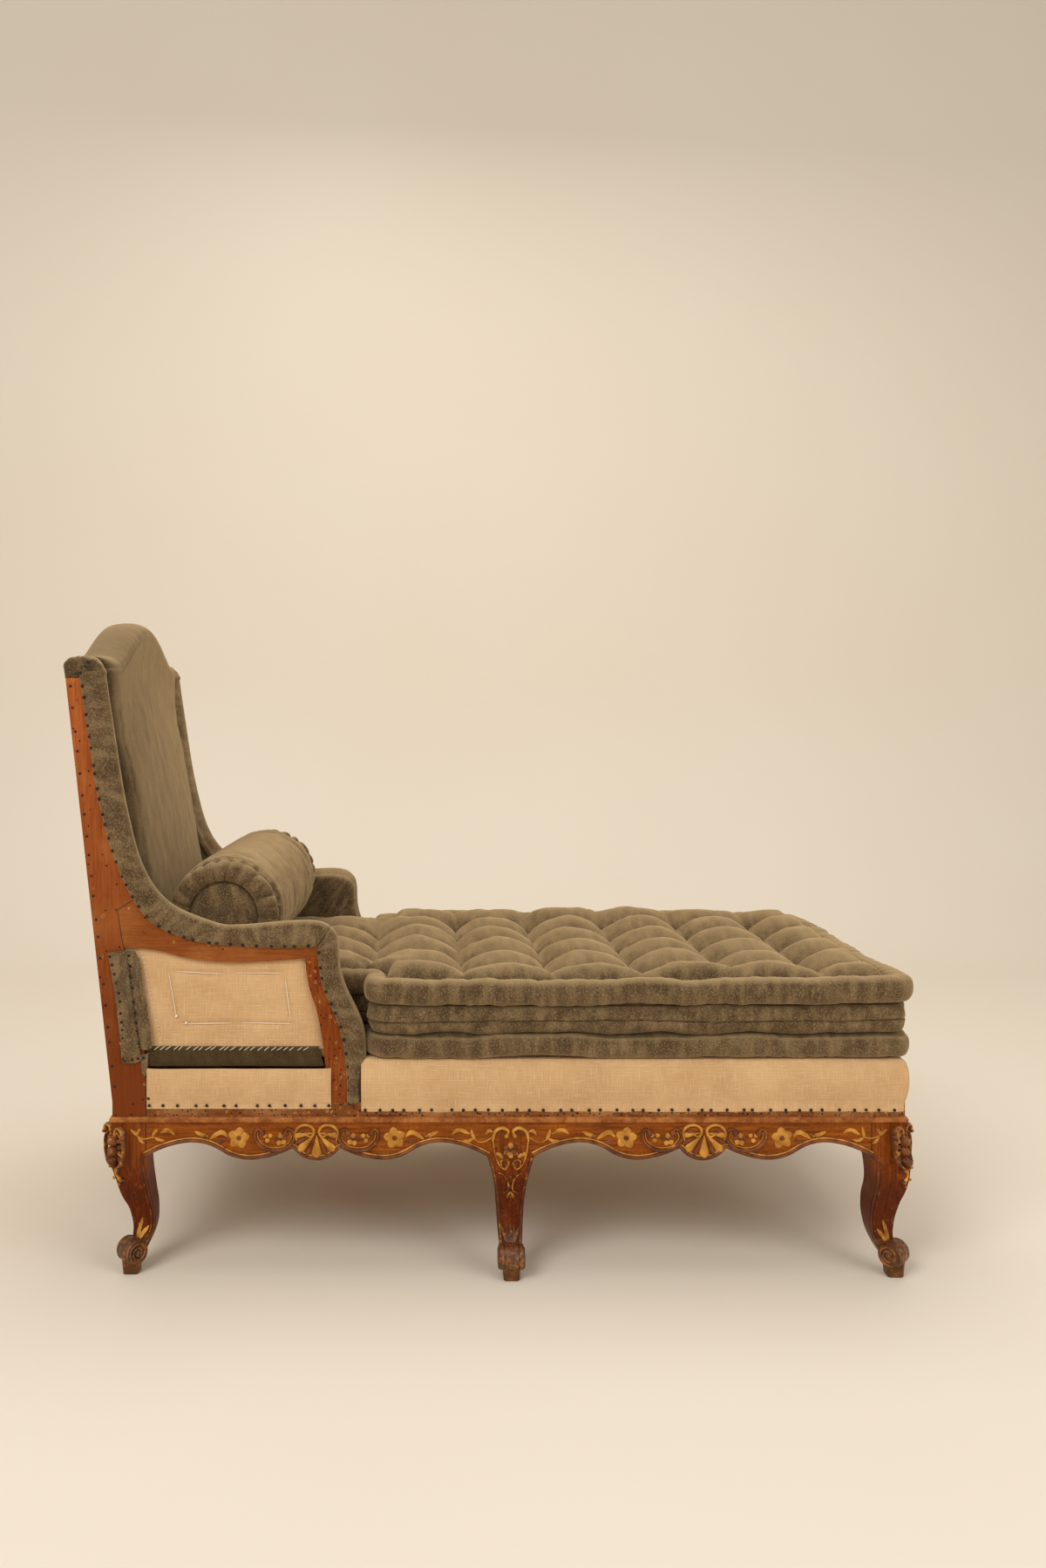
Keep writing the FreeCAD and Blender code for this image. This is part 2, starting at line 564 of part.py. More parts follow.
def arm_panel():
    """Hessian panel, nailed inside the frame of the arm, a little behind its face."""
    y0 = -HALF_WIDTH + PANEL_SET
    return in_arm_frame(box(HEAD_X, ARM_X, y0, y0 + HESSIAN, RAIL_TOP + STRIP_LOW + STRIP_HIGH, ARM_TOP))


def inside_arm_pad():
    edge = level_ends(edge_points())
    outline = plate(silhouette(edge), -INNER, -ARM_INNER)
    seat = box(-OUT, OUT, -OUT, OUT, -OUT, PLATFORM_TOP)
    pad = outline.cut(Part.makeCompound([seat, back_block()]))
    return max(pad.Solids, key=lambda s: s.Volume)


def back_front_x(z):
    """X of the front of the inside back, without its crown."""
    share = (z - PLATFORM_TOP) / (POST_TOP - PLATFORM_TOP)
    pad = BACK_PAD + (BACK_PAD_TOP - BACK_PAD) * share
    return lean_x(z) + RAIL_SET + TOP_RAIL_THICK + STRAP_THICK + pad


def back_block():
    """All that lies behind the uncrowned front of the inside back, with room for its seam."""
    low = (back_front_x(PLATFORM_TOP) + LIE_GAP, PLATFORM_TOP)
    high = (back_front_x(POST_TOP) + LIE_GAP, POST_TOP)
    return plate(lines(at_xz([low, high, (-OUT, POST_TOP), (-OUT, PLATFORM_TOP), low])), -HALF_WIDTH, HALF_WIDTH)


def pull_strip():
    """Velvet strip, pulled out under the arm panel, up to the face of the frame."""
    z0 = RAIL_TOP + STRIP_LOW
    strip = box(HEAD_X, ARM_X, -HALF_WIDTH, -HALF_WIDTH + PANEL_SET + HESSIAN, z0, z0 + STRIP_HIGH)
    outer = [e for e in strip.Edges if e.BoundBox.XLength > 1 and e.BoundBox.YMax < TOUCH - HALF_WIDTH]
    return in_arm_frame(strip.makeFillet(STRIP_ROUND, outer))


def post_flap():
    """Velvet flap, tacked on the post and turned in over the edge of the arm panel."""
    (xa, za), (xb, zb) = back_points(POST_FRONT)[1:3]
    outer = []
    for ahead, share in FLAP_EDGE + FLAP_EDGE[:1]:
        z = RAIL_TOP + FLAP_LOW + share * FLAP_HIGH
        outer.append((xa + (xb - xa) * (z - za) / (zb - za) + ahead, z))
    face = plate(lines(at_xz(outer)), -HALF_WIDTH - VELVET, -HALF_WIDTH)
    turned = plate(lines(at_xz(outer)), -HALF_WIDTH, -HALF_WIDTH + PANEL_SET)
    blocked = [NODES["rear_post_right"], NODES["arm_rail_right"], NODES["arm_pull_strip_right"]]
    turned = turned.cut(Part.makeCompound(blocked))
    turned = max(turned.Solids, key=lambda s: s.Volume)
    return face.fuse(turned).removeSplitter()


def tack_rail():
    """Rail between post and stump, over the platform, that the arm panel is nailed to."""
    y0 = -HALF_WIDTH + PANEL_SET + HESSIAN
    z0 = PLATFORM_TOP + LIE_GAP
    return in_arm_frame(box(HEAD_X, ARM_X, y0, y0 + TACK_RAIL_THICK, z0, z0 + TACK_RAIL_HIGH))


def build_arms():
    both_sides("arm_panel", arm_panel())
    both_sides("arm_pull_strip", pull_strip())
    both_sides("post_flap", post_flap())
    both_sides("arm_tack_rail", tack_rail())
    both_sides("inside_arm_pad", inside_arm_pad())
    both_sides("wing_border", wing_border())


# Back

def crest_rise(y):
    """Serpentine rise of the crest over its ears, at distance y from the middle."""
    share = min(1.0, abs(y) / CREST_REACH)
    return CREST_RISE * (0.5 + 0.5 * math.cos(math.pi * share)) ** CREST_FULL


def crest_sections():
    """Distances across the back at which the crest is drawn, left to right."""
    half = [CREST_REACH * i / CREST_STEPS for i in range(CREST_STEPS + 1)] + [HALF_WIDTH + VELVET]
    return [-y for y in reversed(half[1:])] + half


def sheared(shape):
    """Leans a shape drawn upright, so that it follows the posts."""
    shear = FreeCAD.Matrix()
    shear.A13 = -LEAN
    shear.A14 = LEAN * RAIL_TOP
    return shape.transformGeometry(shear)


def between_posts(ahead, thick, low_of, high_of):
    """Leaning board between the posts; low_of and high_of give its edges across the back."""
    ys = [-INNER] + [y for y in crest_sections() if abs(y) < INNER - 1] + [INNER]
    edges = []
    for height in (low_of, high_of):
        row = [vec(0, y, height(y)) for y in ys]
        curved = max(v.z for v in row) - min(v.z for v in row) > 1
        edges += lines(row) if curved else lines([row[0], row[-1]])
    for y in (-INNER, INNER):
        edges.append(Part.makeLine(vec(0, y, low_of(y)), vec(0, y, high_of(y))))
    face = Part.Face(Part.Wire(Part.__sortEdges__(edges)))
    face.translate(vec(HEAD_X + ahead, 0, 0))
    return sheared(face.extrude(vec(thick, 0, 0)))


def crest_cover():
    """Velvet roll over the crest rail and the post tops, rising in the middle."""
    wires = []
    for y in crest_sections():
        z0 = POST_TOP + crest_rise(y)
        x0 = lean_x(POST_TOP) - CREST_OVER
        p = [vec(x0 + CREST_DEEP * s, y, z0 + CREST_HIGH * t) for s, t in CREST_FORM]
        wires.append(Part.Wire([arc(p[0], p[1], p[2]), arc(p[2], p[3], p[4]), arc(p[4], p[5], p[6]),
                                Part.makeLine(p[6], p[0])]))
    return Part.makeLoft(wires, True, True)


def inside_back_pad():
    """Inside back, crowned across and up, between the posts."""
    wires = []
    ys = [y for y in crest_sections() if abs(y) < ARM_INNER]
    for y in [-INNER, -ARM_INNER] + ys + [ARM_INNER, INNER]:
        z0 = PLATFORM_TOP + LIE_GAP
        z1 = POST_TOP + crest_rise(y)
        middle = (z0 + z1) / 2
        share = min(1.0, abs(y) / ARM_INNER)
        crown = BACK_CROWN * (1 - share * share) + LIE_GAP / 2
        rear = RAIL_SET + TOP_RAIL_THICK + STRAP_THICK
        a, b = vec(lean_x(z0) + rear, y, z0), vec(lean_x(z1) + rear, y, z1)
        c, d = vec(back_front_x(z1), y, z1), vec(back_front_x(z0), y, z0)
        wires.append(Part.Wire(lines([a, b, c]) + [arc(c, vec(back_front_x(middle) + crown, y, middle), d),
                                                   Part.makeLine(d, a)]))
    return Part.makeLoft(wires, True, True)


def build_back():
    low = RAIL_TOP + LOWER_RAIL_LOW
    high = low + LOWER_RAIL_HIGH
    NODES["back_crest_rail"] = between_posts(
        RAIL_SET, TOP_RAIL_THICK,
        lambda y: POST_TOP - CREST_RAIL_HIGH + CREST_RAIL_BOW * crest_rise(y),
        lambda y: POST_TOP + crest_rise(y))
    NODES["back_lower_rail"] = between_posts(RAIL_SET, TOP_RAIL_THICK, lambda y: low, lambda y: high)
    NODES["outside_back_panel"] = between_posts(
        RAIL_SET - HESSIAN, HESSIAN,
        lambda y: low + BACK_PANEL_SET,
        lambda y: POST_TOP - BACK_PANEL_SET + crest_rise(y))
    straps = []
    ahead = HEAD_X + RAIL_SET + TOP_RAIL_THICK
    span = POST_TOP - CREST_RAIL_HIGH - high
    for i in range(BACK_STRAPS):
        z = high + span * (i + 0.5) / BACK_STRAPS - STRAP_WIDE / 2
        straps.append(sheared(box(ahead, ahead + STRAP_THICK, -INNER, INNER, z, z + STRAP_WIDE)))
    NODES["back_webbing"] = Part.makeCompound(straps)
    NODES["inside_back_pad"] = inside_back_pad()
    NODES["crest_cover"] = crest_cover()


# Seat platform

def platform_form(grow):
    """Stuffed platform over the rails, bulging between rail top and seat, grown by a thickness."""
    wires = []
    for share, out in PLATFORM_FORM:
        reach = PLATFORM_BULGE * out + grow
        z = RAIL_TOP + share * (PLATFORM_HIGH - HESSIAN + grow)
        wires.append(deck_outline(reach, z))
    return Part.makeLoft(wires, True, True)


def deck_outline(reach, z):
    """Plan of the platform at height z, reaching past the rails, rounded at the foot."""
    x0, x1 = HEAD_X + 2 * HESSIAN - reach / 2, FOOT_X + reach
    y = HALF_WIDTH + reach
    r = DECK_CORNER
    edges = lines([vec(x1 - r, -y, z), vec(x0, -y, z), vec(x0, y, z), vec(x1 - r, y, z)])
    edges += lines([vec(x1, -y + r, z), vec(x1, y - r, z)])
    swing = r * math.sqrt(0.5)
    for side in (-1, 1):
        middle = vec(x1 - r + swing, side * (y - r + swing), z)
        edges.append(arc(vec(x1 - r, side * y, z), middle, vec(x1, side * (y - r), z)))
    return Part.Wire(Part.__sortEdges__(edges))


def around_the_arms():
    """What posts, stumps, borders and pull strips take out of the platform."""
    stump_x0 = arm_points(STUMP_REAR)[-2][0] - CUT_GAP
    stump_x1 = arm_points(ARM_EDGE)[-3][0] + CUT_GAP
    post_x = HEAD_X + BLOCK + CUT_GAP
    low = RAIL_TOP - SKIRT_LOW - CUT_GAP
    inner_y = INNER - SIDE_GAP
    strip_y = HALF_WIDTH - PANEL_SET - HESSIAN - SIDE_GAP
    strip_z = RAIL_TOP + STRIP_LOW - SIDE_GAP
    cuts = [box(stump_x0, stump_x1, -OUT, -inner_y, low, OUT),
            box(-OUT, post_x, -OUT, -inner_y, low, OUT),
            box(-OUT, stump_x1, -OUT, -strip_y, strip_z, OUT)]
    return Part.makeCompound(cuts + [mirrored(c) for c in cuts])


def evenly(start, end, count):
    """Middles of count equal stretches between start and end."""
    return [start + (end - start) * (i + 0.5) / count for i in range(round(count))]


def build_seat():
    z = RAIL_TOP
    half = STRAP_WIDE / 2
    x0, x1 = HEAD_X + WEB_SET, FOOT_X - WEB_SET
    y1 = HALF_WIDTH - WEB_SET
    behind = evenly(HEAD_X + BLOCK, arm_points(STUMP_REAR)[-1][0], HEAD_STRAPS)
    ahead = evenly(arm_points(ARM_EDGE)[-1][0], FOOT_X - BLOCK, FOOT_STRAPS)
    straps = [box(x0, x1, y - half, y + half, z, z + STRAP_THICK) for y in evenly(-INNER, INNER, LONG_STRAPS)]
    straps += [box(x - half, x + half, -y1, y1, z + STRAP_THICK, z + 2 * STRAP_THICK) for x in behind + ahead]
    NODES["seat_webbing"] = Part.makeCompound(straps)
    sheet_z = z + 2 * STRAP_THICK
    cuts = around_the_arms()
    canvas = box(HEAD_X + RAIL_THICK, x1, -y1, y1, sheet_z, sheet_z + HESSIAN)
    NODES["seat_canvas"] = canvas.cut(cuts)
    stuffing = platform_form(0.0)
    below = box(-OUT, OUT, -OUT, OUT, -OUT, sheet_z + HESSIAN)
    NODES["platform_stuffing"] = stuffing.cut(Part.makeCompound([below, cuts]))
    y1 = HALF_WIDTH + HESSIAN
    skirt = box(HEAD_X + BLOCK, FOOT_X + HESSIAN, -y1, y1, RAIL_TOP - SKIRT_LOW, RAIL_TOP)
    rails = box(-OUT, FOOT_X, -HALF_WIDTH, HALF_WIDTH, -OUT, RAIL_TOP)
    cover = platform_form(HESSIAN).cut(Part.makeCompound([stuffing, cuts]))
    NODES["platform_cover"] = cover.fuse(skirt.cut(Part.makeCompound([rails, cuts]))).removeSplitter()


# Mattress and bolster

def t_outline(z, inwards):
    """Plan of the T-shaped mattress at height z, drawn in by a distance, with rounded corners."""
    x0 = back_front_x(PLATFORM_TOP) + HEAD_GAP + inwards
    x1, x2 = MATTRESS_NOTCH_X + inwards, MATTRESS_FOOT_X - inwards
    n, w = ARM_INNER - ARM_GAP - inwards, MATTRESS_HALF_WIDTH - inwards
    corners = [(x0, -n, 1), (x1, -n, -1), (x1, -w, 1), (x2, -w, 1), (x2, w, 1), (x1, w, 1), (x1, n, -1), (x0, n, 1)]
    rounded = []
    count = len(corners)
    for i, (x, y, kind) in enumerate(corners):
        radius = ROLL_CORNER - inwards if kind > 0 else ROLL_CORNER / 2 + inwards
        px, py, _ = corners[i - 1]
        qx, qy, _ = corners[(i + 1) % count]
        to_p = vec(px - x, py - y, 0).normalize()
        to_q = vec(qx - x, qy - y, 0).normalize()
        tip = vec(x, y, z)
        bend = radius * (1 - math.sqrt(0.5))
        rounded.append((tip + to_p * radius, tip + (to_p + to_q) * bend, tip + to_q * radius))
    edges = []
    for here, after in zip(rounded, rounded[1:] + rounded[:1]):
        edges += [arc(*here), Part.makeLine(here[2], after[0])]
    return Part.Wire(edges)


def mattress_case():
    """Stitched sides: a rolled edge at the top and at the bottom, a plain band between."""
    z0 = PLATFORM_TOP + LIE_GAP
    rise = MATTRESS_HIGH - SEAM_DIP - LIE_GAP
    wires = [t_outline(z0 + share * rise, inwards * ROLL_CREASE) for share, inwards in CASE_FORM]
    return Part.makeLoft(wires, True, True)


def quilt_wire(x, rows, edge_z, crown, floor_z):
    """Section across the tufted top: an arc over each row of puffs."""
    edges = []
    for ya, yb in zip(rows, rows[1:]):
        tall = crown * min(1.0, (yb - ya) / ROW_PITCH)
        edges.append(arc(vec(x, ya, edge_z), vec(x, (ya + yb) / 2, edge_z + tall), vec(x, yb, edge_z)))
    edges += lines([vec(x, rows[-1], edge_z), vec(x, rows[-1], floor_z), vec(x, rows[0], floor_z),
                    vec(x, rows[0], edge_z)])
    return Part.Wire(edges)


def quilt(x0, x1, columns, rows, top_z):
    """Tufted top between x0 and x1: low at each column of tufts, crowned between two columns."""
    wires = []
    for i in range(PUFF_STEPS * columns + 1):
        x = x0 + i * (x1 - x0) / (PUFF_STEPS * columns)
        swell = math.sin(math.pi * (i % PUFF_STEPS) / PUFF_STEPS)
        edge_z = top_z - SEAM_DIP - (TUFT_DIP - SEAM_DIP) * (1 - swell)
        crown = SEAM_DIP * (PUFF_END + (1 - PUFF_END) * swell)
        wires.append(quilt_wire(x, rows, edge_z, crown, top_z - QUILT_DEEP))
    return Part.makeLoft(wires, True, True)


def build_mattress():
    top_z = PLATFORM_TOP + MATTRESS_HIGH
    wide = MATTRESS_HALF_WIDTH - QUILT_SET
    rows = [-wide] + [(i - TUFT_ROWS / 2) * ROW_PITCH for i in range(1, TUFT_ROWS)] + [wide]
    narrow = ARM_INNER - ARM_GAP - QUILT_SET
    inner_rows = [-narrow] + [y for y in rows if abs(y) < narrow - QUILT_SET] + [narrow]
    x0 = back_front_x(PLATFORM_TOP) + HEAD_GAP + QUILT_SET
    x1, x2 = MATTRESS_NOTCH_X + QUILT_SET, MATTRESS_FOOT_X - QUILT_SET
    inner_columns = max(1, round((x1 - x0) * TUFT_COLUMNS / (x2 - x1)))
    top = quilt(x1, x2, TUFT_COLUMNS, rows, top_z)
    head = quilt(x0, x1 + LIE_GAP, inner_columns, inner_rows, top_z)
    floor_z = top_z - QUILT_DEEP
    pocket = [box(x1, x2, -wide, wide, floor_z, OUT), box(x0, x1 + LIE_GAP, -narrow, narrow, floor_z, OUT)]
    NODES["mattress"] = mattress_case().cut(pocket).fuse([top, head]).removeSplitter()


def bolster():
    """Stuffed bolster across the head of the mattress, flat where it lies."""
    z = PLATFORM_TOP + MATTRESS_HIGH + BOLSTER_RISE
    stations = BOLSTER_FORM + [(-y, r) for y, r in reversed(BOLSTER_FORM)]
    wires = []
    for along, out in stations:
        ring = []
        for i in range(3):
            turn = [math.radians(90 + 120 * (i + part)) for part in (0.0, 0.5, 1.0)]
            r = BOLSTER_R * out
            ring.append(arc(*[vec(BOLSTER_X + r * math.cos(t), BOLSTER_HALF * along, z + r * math.sin(t))
                              for t in turn]))
        wires.append(Part.Wire(ring))
    body = Part.makeLoft(wires, True, True)
    seat = PLATFORM_TOP + MATTRESS_HIGH + LIE_GAP
    return body.cut(box(-OUT, OUT, -OUT, OUT, -OUT, seat))


def main():
    build_frame()
    build_arms()
    build_back()
    build_seat()
    build_mattress()
    NODES["bolster"] = bolster()
    os.makedirs("parts", exist_ok=True)
    for name, shape in NODES.items():
        shape.exportStep(os.path.join("parts", name + ".step"))
        if not shape.isValid():
            print(name, "is not a valid solid")


main()
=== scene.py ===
# %% [markdown]
# # A chaise longue in the middle of its upholstery
# The real one is a carved beech frame whose velvet is only half on: the back, the arms and
# the loose mattress are covered, while the hessian, the raw wood and the tacks still show.
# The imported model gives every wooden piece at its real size. This lesson adds what a
# carver, a gilder and an upholsterer add: relief, worn finishes, cloth, tacks and stitches.

# %% Load the frame
import itertools
import math

import bmesh
import bpy
import numpy as np
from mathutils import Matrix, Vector


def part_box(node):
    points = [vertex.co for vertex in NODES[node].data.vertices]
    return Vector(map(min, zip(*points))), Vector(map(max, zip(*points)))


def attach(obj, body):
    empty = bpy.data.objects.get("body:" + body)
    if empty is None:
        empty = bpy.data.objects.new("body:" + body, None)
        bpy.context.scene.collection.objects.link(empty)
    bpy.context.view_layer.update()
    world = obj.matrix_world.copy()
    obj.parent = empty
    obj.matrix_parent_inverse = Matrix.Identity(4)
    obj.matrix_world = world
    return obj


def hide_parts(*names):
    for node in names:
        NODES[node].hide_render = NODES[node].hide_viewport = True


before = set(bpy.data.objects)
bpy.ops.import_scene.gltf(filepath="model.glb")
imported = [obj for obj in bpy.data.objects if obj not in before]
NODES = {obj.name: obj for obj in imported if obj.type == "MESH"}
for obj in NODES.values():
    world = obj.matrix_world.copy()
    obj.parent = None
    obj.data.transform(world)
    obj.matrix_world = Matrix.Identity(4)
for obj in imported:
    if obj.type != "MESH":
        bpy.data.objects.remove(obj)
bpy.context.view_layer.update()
print(len(NODES), "nodes of the frame")

# %% [markdown]
# ## Sizes
# The scene works in metres. What the frame can tell is read from it; the rest repeats the
# drawing: heights of rails and platform, the lean of the back, the outline of the arm.

# %% Sizes of the frame
HALF_WIDTH = -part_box("arm_stump_right")[0][1]      # outer faces of rails, posts and stumps
INNER = -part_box("arm_stump_right")[1][1]           # inner faces of posts and arm boards
RAIL_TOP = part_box("foot_leg_right")[1][2]
PLATFORM_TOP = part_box("platform_cover")[1][2]
POST_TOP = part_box("wing_border_right")[1][2]
FOOT_X = 0.7795                                    # outer face of the foot rail
HEAD_X = -0.706                                    # rear face of the posts at the rail top
LEG_TOP = 0.221
BEAD_Z = 0.284                                     # underside of the bead
BLOCK = 0.063
ARM_INNER = 0.315                                  # inner faces of the arm padding
ARM_X, ARM_TOP = -0.284, 0.661                     # the arm's front top corner
LEAN = 0.1106
MIDDLE_X = 0.0405
STUMP_FRONT = -0.2395                              # faces of the stumps towards the foot
BETWEEN_POSTS = 0.336                              # half width of platform and canvas there
DIAGONAL = math.sqrt(0.5)
print("rail top", round(RAIL_TOP, 4), "platform top", round(PLATFORM_TOP, 4))


def lean_x(z):
    """X of the leaning rear face of the posts: HEAD_X less LEAN times the height over the rail."""
    return HEAD_X - LEAN * (z - RAIL_TOP)


# %% [markdown]
# ## Meshes from arrays
# Every soft or carved piece below is a surface worked out with numpy: a grid of points, or
# many grids joined. A few helpers turn grids into meshes and keep the sides mirrored.

# %% Grids, joined grids and pieces
def stacked(*columns):
    """Points from coordinates that are broadcast against one another."""
    return np.stack(np.broadcast_arrays(*columns), -1)


def on_face(xz, y):
    """Points of a side view, x and z, set at that y."""
    xz = np.asarray(xz, float)
    return stacked(xz[..., 0], y, xz[..., 1])


def grid_faces(rows, cols, ring=False):
    """Quads between the points of a grid. With ring, the last column joins the first."""
    r, c = np.meshgrid(np.arange(rows - 1), np.arange(cols if ring else cols - 1), indexing="ij")
    after = (c + 1) % cols
    here, next_row = r * cols, (r + 1) * cols
    return stacked(here + c, next_row + c, next_row + after, here + after).reshape(-1, 4)


def surface(points, cloth=None, ring=False, flip=False, **values):
    """One grid of points as a dictionary: points, faces, and values given at each point."""
    rows, cols = points.shape[:2]
    faces = grid_faces(rows, cols, ring)
    part = {"points": points.reshape(-1, 3), "faces": faces[:, ::-1] if flip else faces}
    if cloth is not None:
        part["cloth"] = stacked(*cloth, np.zeros((rows, cols))).reshape(-1, 3)
    for name, value in values.items():
        part[name] = np.broadcast_to(value, (rows, cols)).reshape(-1)
    return part


def joined(parts):
    """Several surfaces as one: points and values one after another, faces counted on."""
    starts = np.cumsum([0] + [len(p["points"]) for p in parts[:-1]])
    whole = {key: np.concatenate([p[key] for p in parts]) for key in parts[0] if key != "faces"}
    whole["faces"] = np.concatenate([p["faces"] + start for p, start in zip(parts, starts)])
    return whole


def mirrored(part):
    """The same surface on the other side: y changes sign and the faces turn round."""
    return dict(part, points=part["points"] * [1.0, -1.0, 1.0], faces=part["faces"][:, ::-1])


def piece(name, part, finish, body="chaise", stands_for=()):
    """Makes a mesh object of a surface, its seams and poles closed, riding on its body."""
    mesh = bpy.data.meshes.new(name)
    mesh.from_pydata(part["points"].tolist(), [], part["faces"].tolist())
    for key in part:
        if key == "cloth":
            mesh.attributes.new(key, "FLOAT_VECTOR", "POINT").data.foreach_set("vector",
                part[key].ravel())
        elif key not in ("points", "faces"):
            mesh.attributes.new(key, "FLOAT", "POINT").data.foreach_set("value",
                part[key].astype(float))
    closed = bmesh.new()
    closed.from_mesh(mesh)
    bmesh.ops.remove_doubles(closed, verts=closed.verts, dist=2e-6)
    closed.to_mesh(mesh)
    closed.free()
    mesh.polygons.foreach_set("use_smooth", np.ones(len(mesh.polygons), dtype=bool))
    mesh.materials.append(finish)
    thing = bpy.data.objects.new(name, mesh)
    bpy.context.scene.collection.objects.link(thing)
    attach(thing, body)
    if stands_for:
        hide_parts(*stands_for)
    return thing


# %% [markdown]
# ## Curves and unevenness
# Outlines are smooth curves through a few measured points. Nothing sewn by hand is even, so
# a value noise, the same on every run, bends seams, swells rolls and spaces stitches.

# %% Curves and noise
def curve_at(points, t):
    """Curve through the points (Catmull-Rom) at places t counted in points, 0 for the first."""
    p = np.asarray(points, float)
    p = np.vstack([2 * p[0] - p[1], p, 2 * p[-1] - p[-2]])
    k = np.clip(np.floor(t).astype(int), 0, len(p) - 4)
    f = (t - k)[:, None]
    a, b, c, d = p[k], p[k + 1], p[k + 2], p[k + 3]
    return (0.5 * (2 * b + (c - a) * f + (2 * a - 5 * b + 4 * c - d) * f ** 2
        + (3 * b - a - 3 * c + d) * f ** 3))


def even_steps(points, count):
    """Places t for curve_at that lie at even steps of the curve's length."""
    t = np.linspace(0, len(points) - 1, 40 * len(points))
    far = lengths(curve_at(points, t))
    return np.interp(np.linspace(0, far[-1], count), far, t)


def smooth_curve(points, count):
    """The curve through the points, sampled at count even steps of length."""
    return curve_at(points, even_steps(points, count))


def lengths(points):
    """Distance along a polyline at each of its points."""
    return np.concatenate([[0.0], np.cumsum(np.linalg.norm(np.diff(points, axis=0), axis=1))])


def evenly(points, count):
    """The polyline resampled at count even steps of its length."""
    far = lengths(points)
    at = np.linspace(0, far[-1], count)
    return np.stack([np.interp(at, far, column) for column in points.T], -1)


def units(vectors):
    """Each vector divided by its length."""
    return vectors / np.linalg.norm(vectors, axis=-1, keepdims=True)


def along_and_aside(points):
    """Unit tangents of a plane curve, and the normals to their right."""
    tangent = np.gradient(points, axis=0)
    tangent /= np.linalg.norm(tangent, axis=1)[:, None]
    return tangent, stacked(tangent[:, 1], -tangent[:, 0])


def noise(points, size, seed=0):
    """Value noise from -1 to 1: random numbers on a lattice of that size, blended smoothly."""
    cells = np.asarray(points, float) / size
    low = np.floor(cells)
    share = cells - low
    share = share * share * (3 - 2 * share)
    keys = np.array([12.9898, 78.233, 37.719])[:cells.shape[-1]]
    total = 0.0
    for corner in itertools.product((0, 1), repeat=cells.shape[-1]):
        value = np.mod(np.sin(((low + corner) * keys).sum(-1) + 17.13 * seed) * 43758.5453, 1.0)
        total = total + value * np.prod(np.where(corner, share, 1 - share), -1)
    return 2 * total - 1


def ripple(at, size, seed=0):
    """The same noise of one number, such as the distance along a seam."""
    return noise(at[..., None], size, seed)


def between(at, marks):
    """How far a place is from one mark to the next, from 0 to 1."""
    cell = np.interp(at, marks, np.arange(len(marks)))
    return cell - np.floor(np.minimum(cell, len(marks) - 1.001))


def stitch_marks(length, pitch, seed):
    """Places of hand stitches along a seam: an even pitch, each moved by up to a quarter of it."""
    marks = np.linspace(0, length, max(2, int(round(length / pitch)) + 1))
    marks[1:-1] += 0.25 * pitch * noise(marks[1:-1, None] * 7.3, pitch, seed)
    return marks


# %% [markdown]
# ## Nodes and colours
# A finish is a small tree of nodes. One function adds any node with its settings and links,
# one turns sRGB hex colours to the linear values that the shader works in.

# %% Colours and nodes
def linear(colour):
    """Linear RGBA of an sRGB hex: c / 12.92 up to 0.04045, else ((c + 0.055) / 1.055) ** 2.4."""
    c = np.array([int(colour[i:i + 2], 16) for i in (1, 3, 5)]) / 255
    c = np.where(c <= 0.04045, c / 12.92, ((c + 0.055) / 1.055) ** 2.4)
    return (*c.tolist(), 1.0)


def add(tree, kind, inputs=(), **settings):
    """Adds a node of that kind. Each input gets a value, or a link if it is given a socket."""
    node = tree.nodes.new("ShaderNode" + kind)
    for key, value in settings.items():
        setattr(node, key, value)
    for key, value in dict(inputs).items():
        if isinstance(value, bpy.types.NodeSocket):
            tree.links.new(value, node.inputs[key])
        else:
            node.inputs[key].default_value = value
    return node


MIX = {"factor": 0, "a": 6, "b": 7, "result": 2}   # sockets of a Mix node set to colours


def start_finish(name, **shader):
    """New material: returns it, its tree, its shader and its Object coordinates."""
    finish = bpy.data.materials.new(name)
    finish.use_nodes = True
    tree = finish.node_tree
    bsdf = tree.nodes["Principled BSDF"]
    for key, value in shader.items():
        bsdf.inputs[key.replace("_", " ")].default_value = value
    return finish, tree, bsdf, add(tree, "TexCoord").outputs["Object"]


def mixed(tree, factor, a, b):
    """Colour socket between a and b, each a hex colour or a socket, by factor."""
    a, b = [linear(c) if isinstance(c, str) else c for c in (a, b)]
    return add(tree, "Mix", {MIX["factor"]: factor, MIX["a"]: a, MIX["b"]: b},
        data_type="RGBA").outputs[MIX["result"]]


def ranged(tree, value, low, high, to_low=0.0, to_high=1.0):
    """Maps low..high of a value to another range, clamped."""
    return add(tree, "MapRange", {"Value": value, "From Min": low, "From Max": high,
                                  "To Min": to_low, "To Max": to_high}).outputs["Result"]


def mottled(tree, place, size=1.0, detail=2.0, rough=0.5, **more):
    """Noise from 0 to 1 in patches of that size, with finer octaves as detail grows."""
    values = {"Vector": place, "Scale": 1 / size, "Detail": detail, "Roughness": rough, **more}
    return add(tree, "TexNoise", values).outputs["Fac"]


def worked_out(tree, operation, *values):
    """Result of one sum, product or maximum; MULTIPLY_ADD is first times second plus third."""
    return add(tree, "Math", dict(enumerate(values)), operation=operation).outputs[0]


def bumped(tree, bsdf, height, depth, strength=1.0):
    """Links a height socket to the shader's normal, with its depth in metres."""
    bump = add(tree, "Bump", {"Height": height, "Distance": depth, "Strength": strength})
    tree.links.new(bump.outputs["Normal"], bsdf.inputs["Normal"])


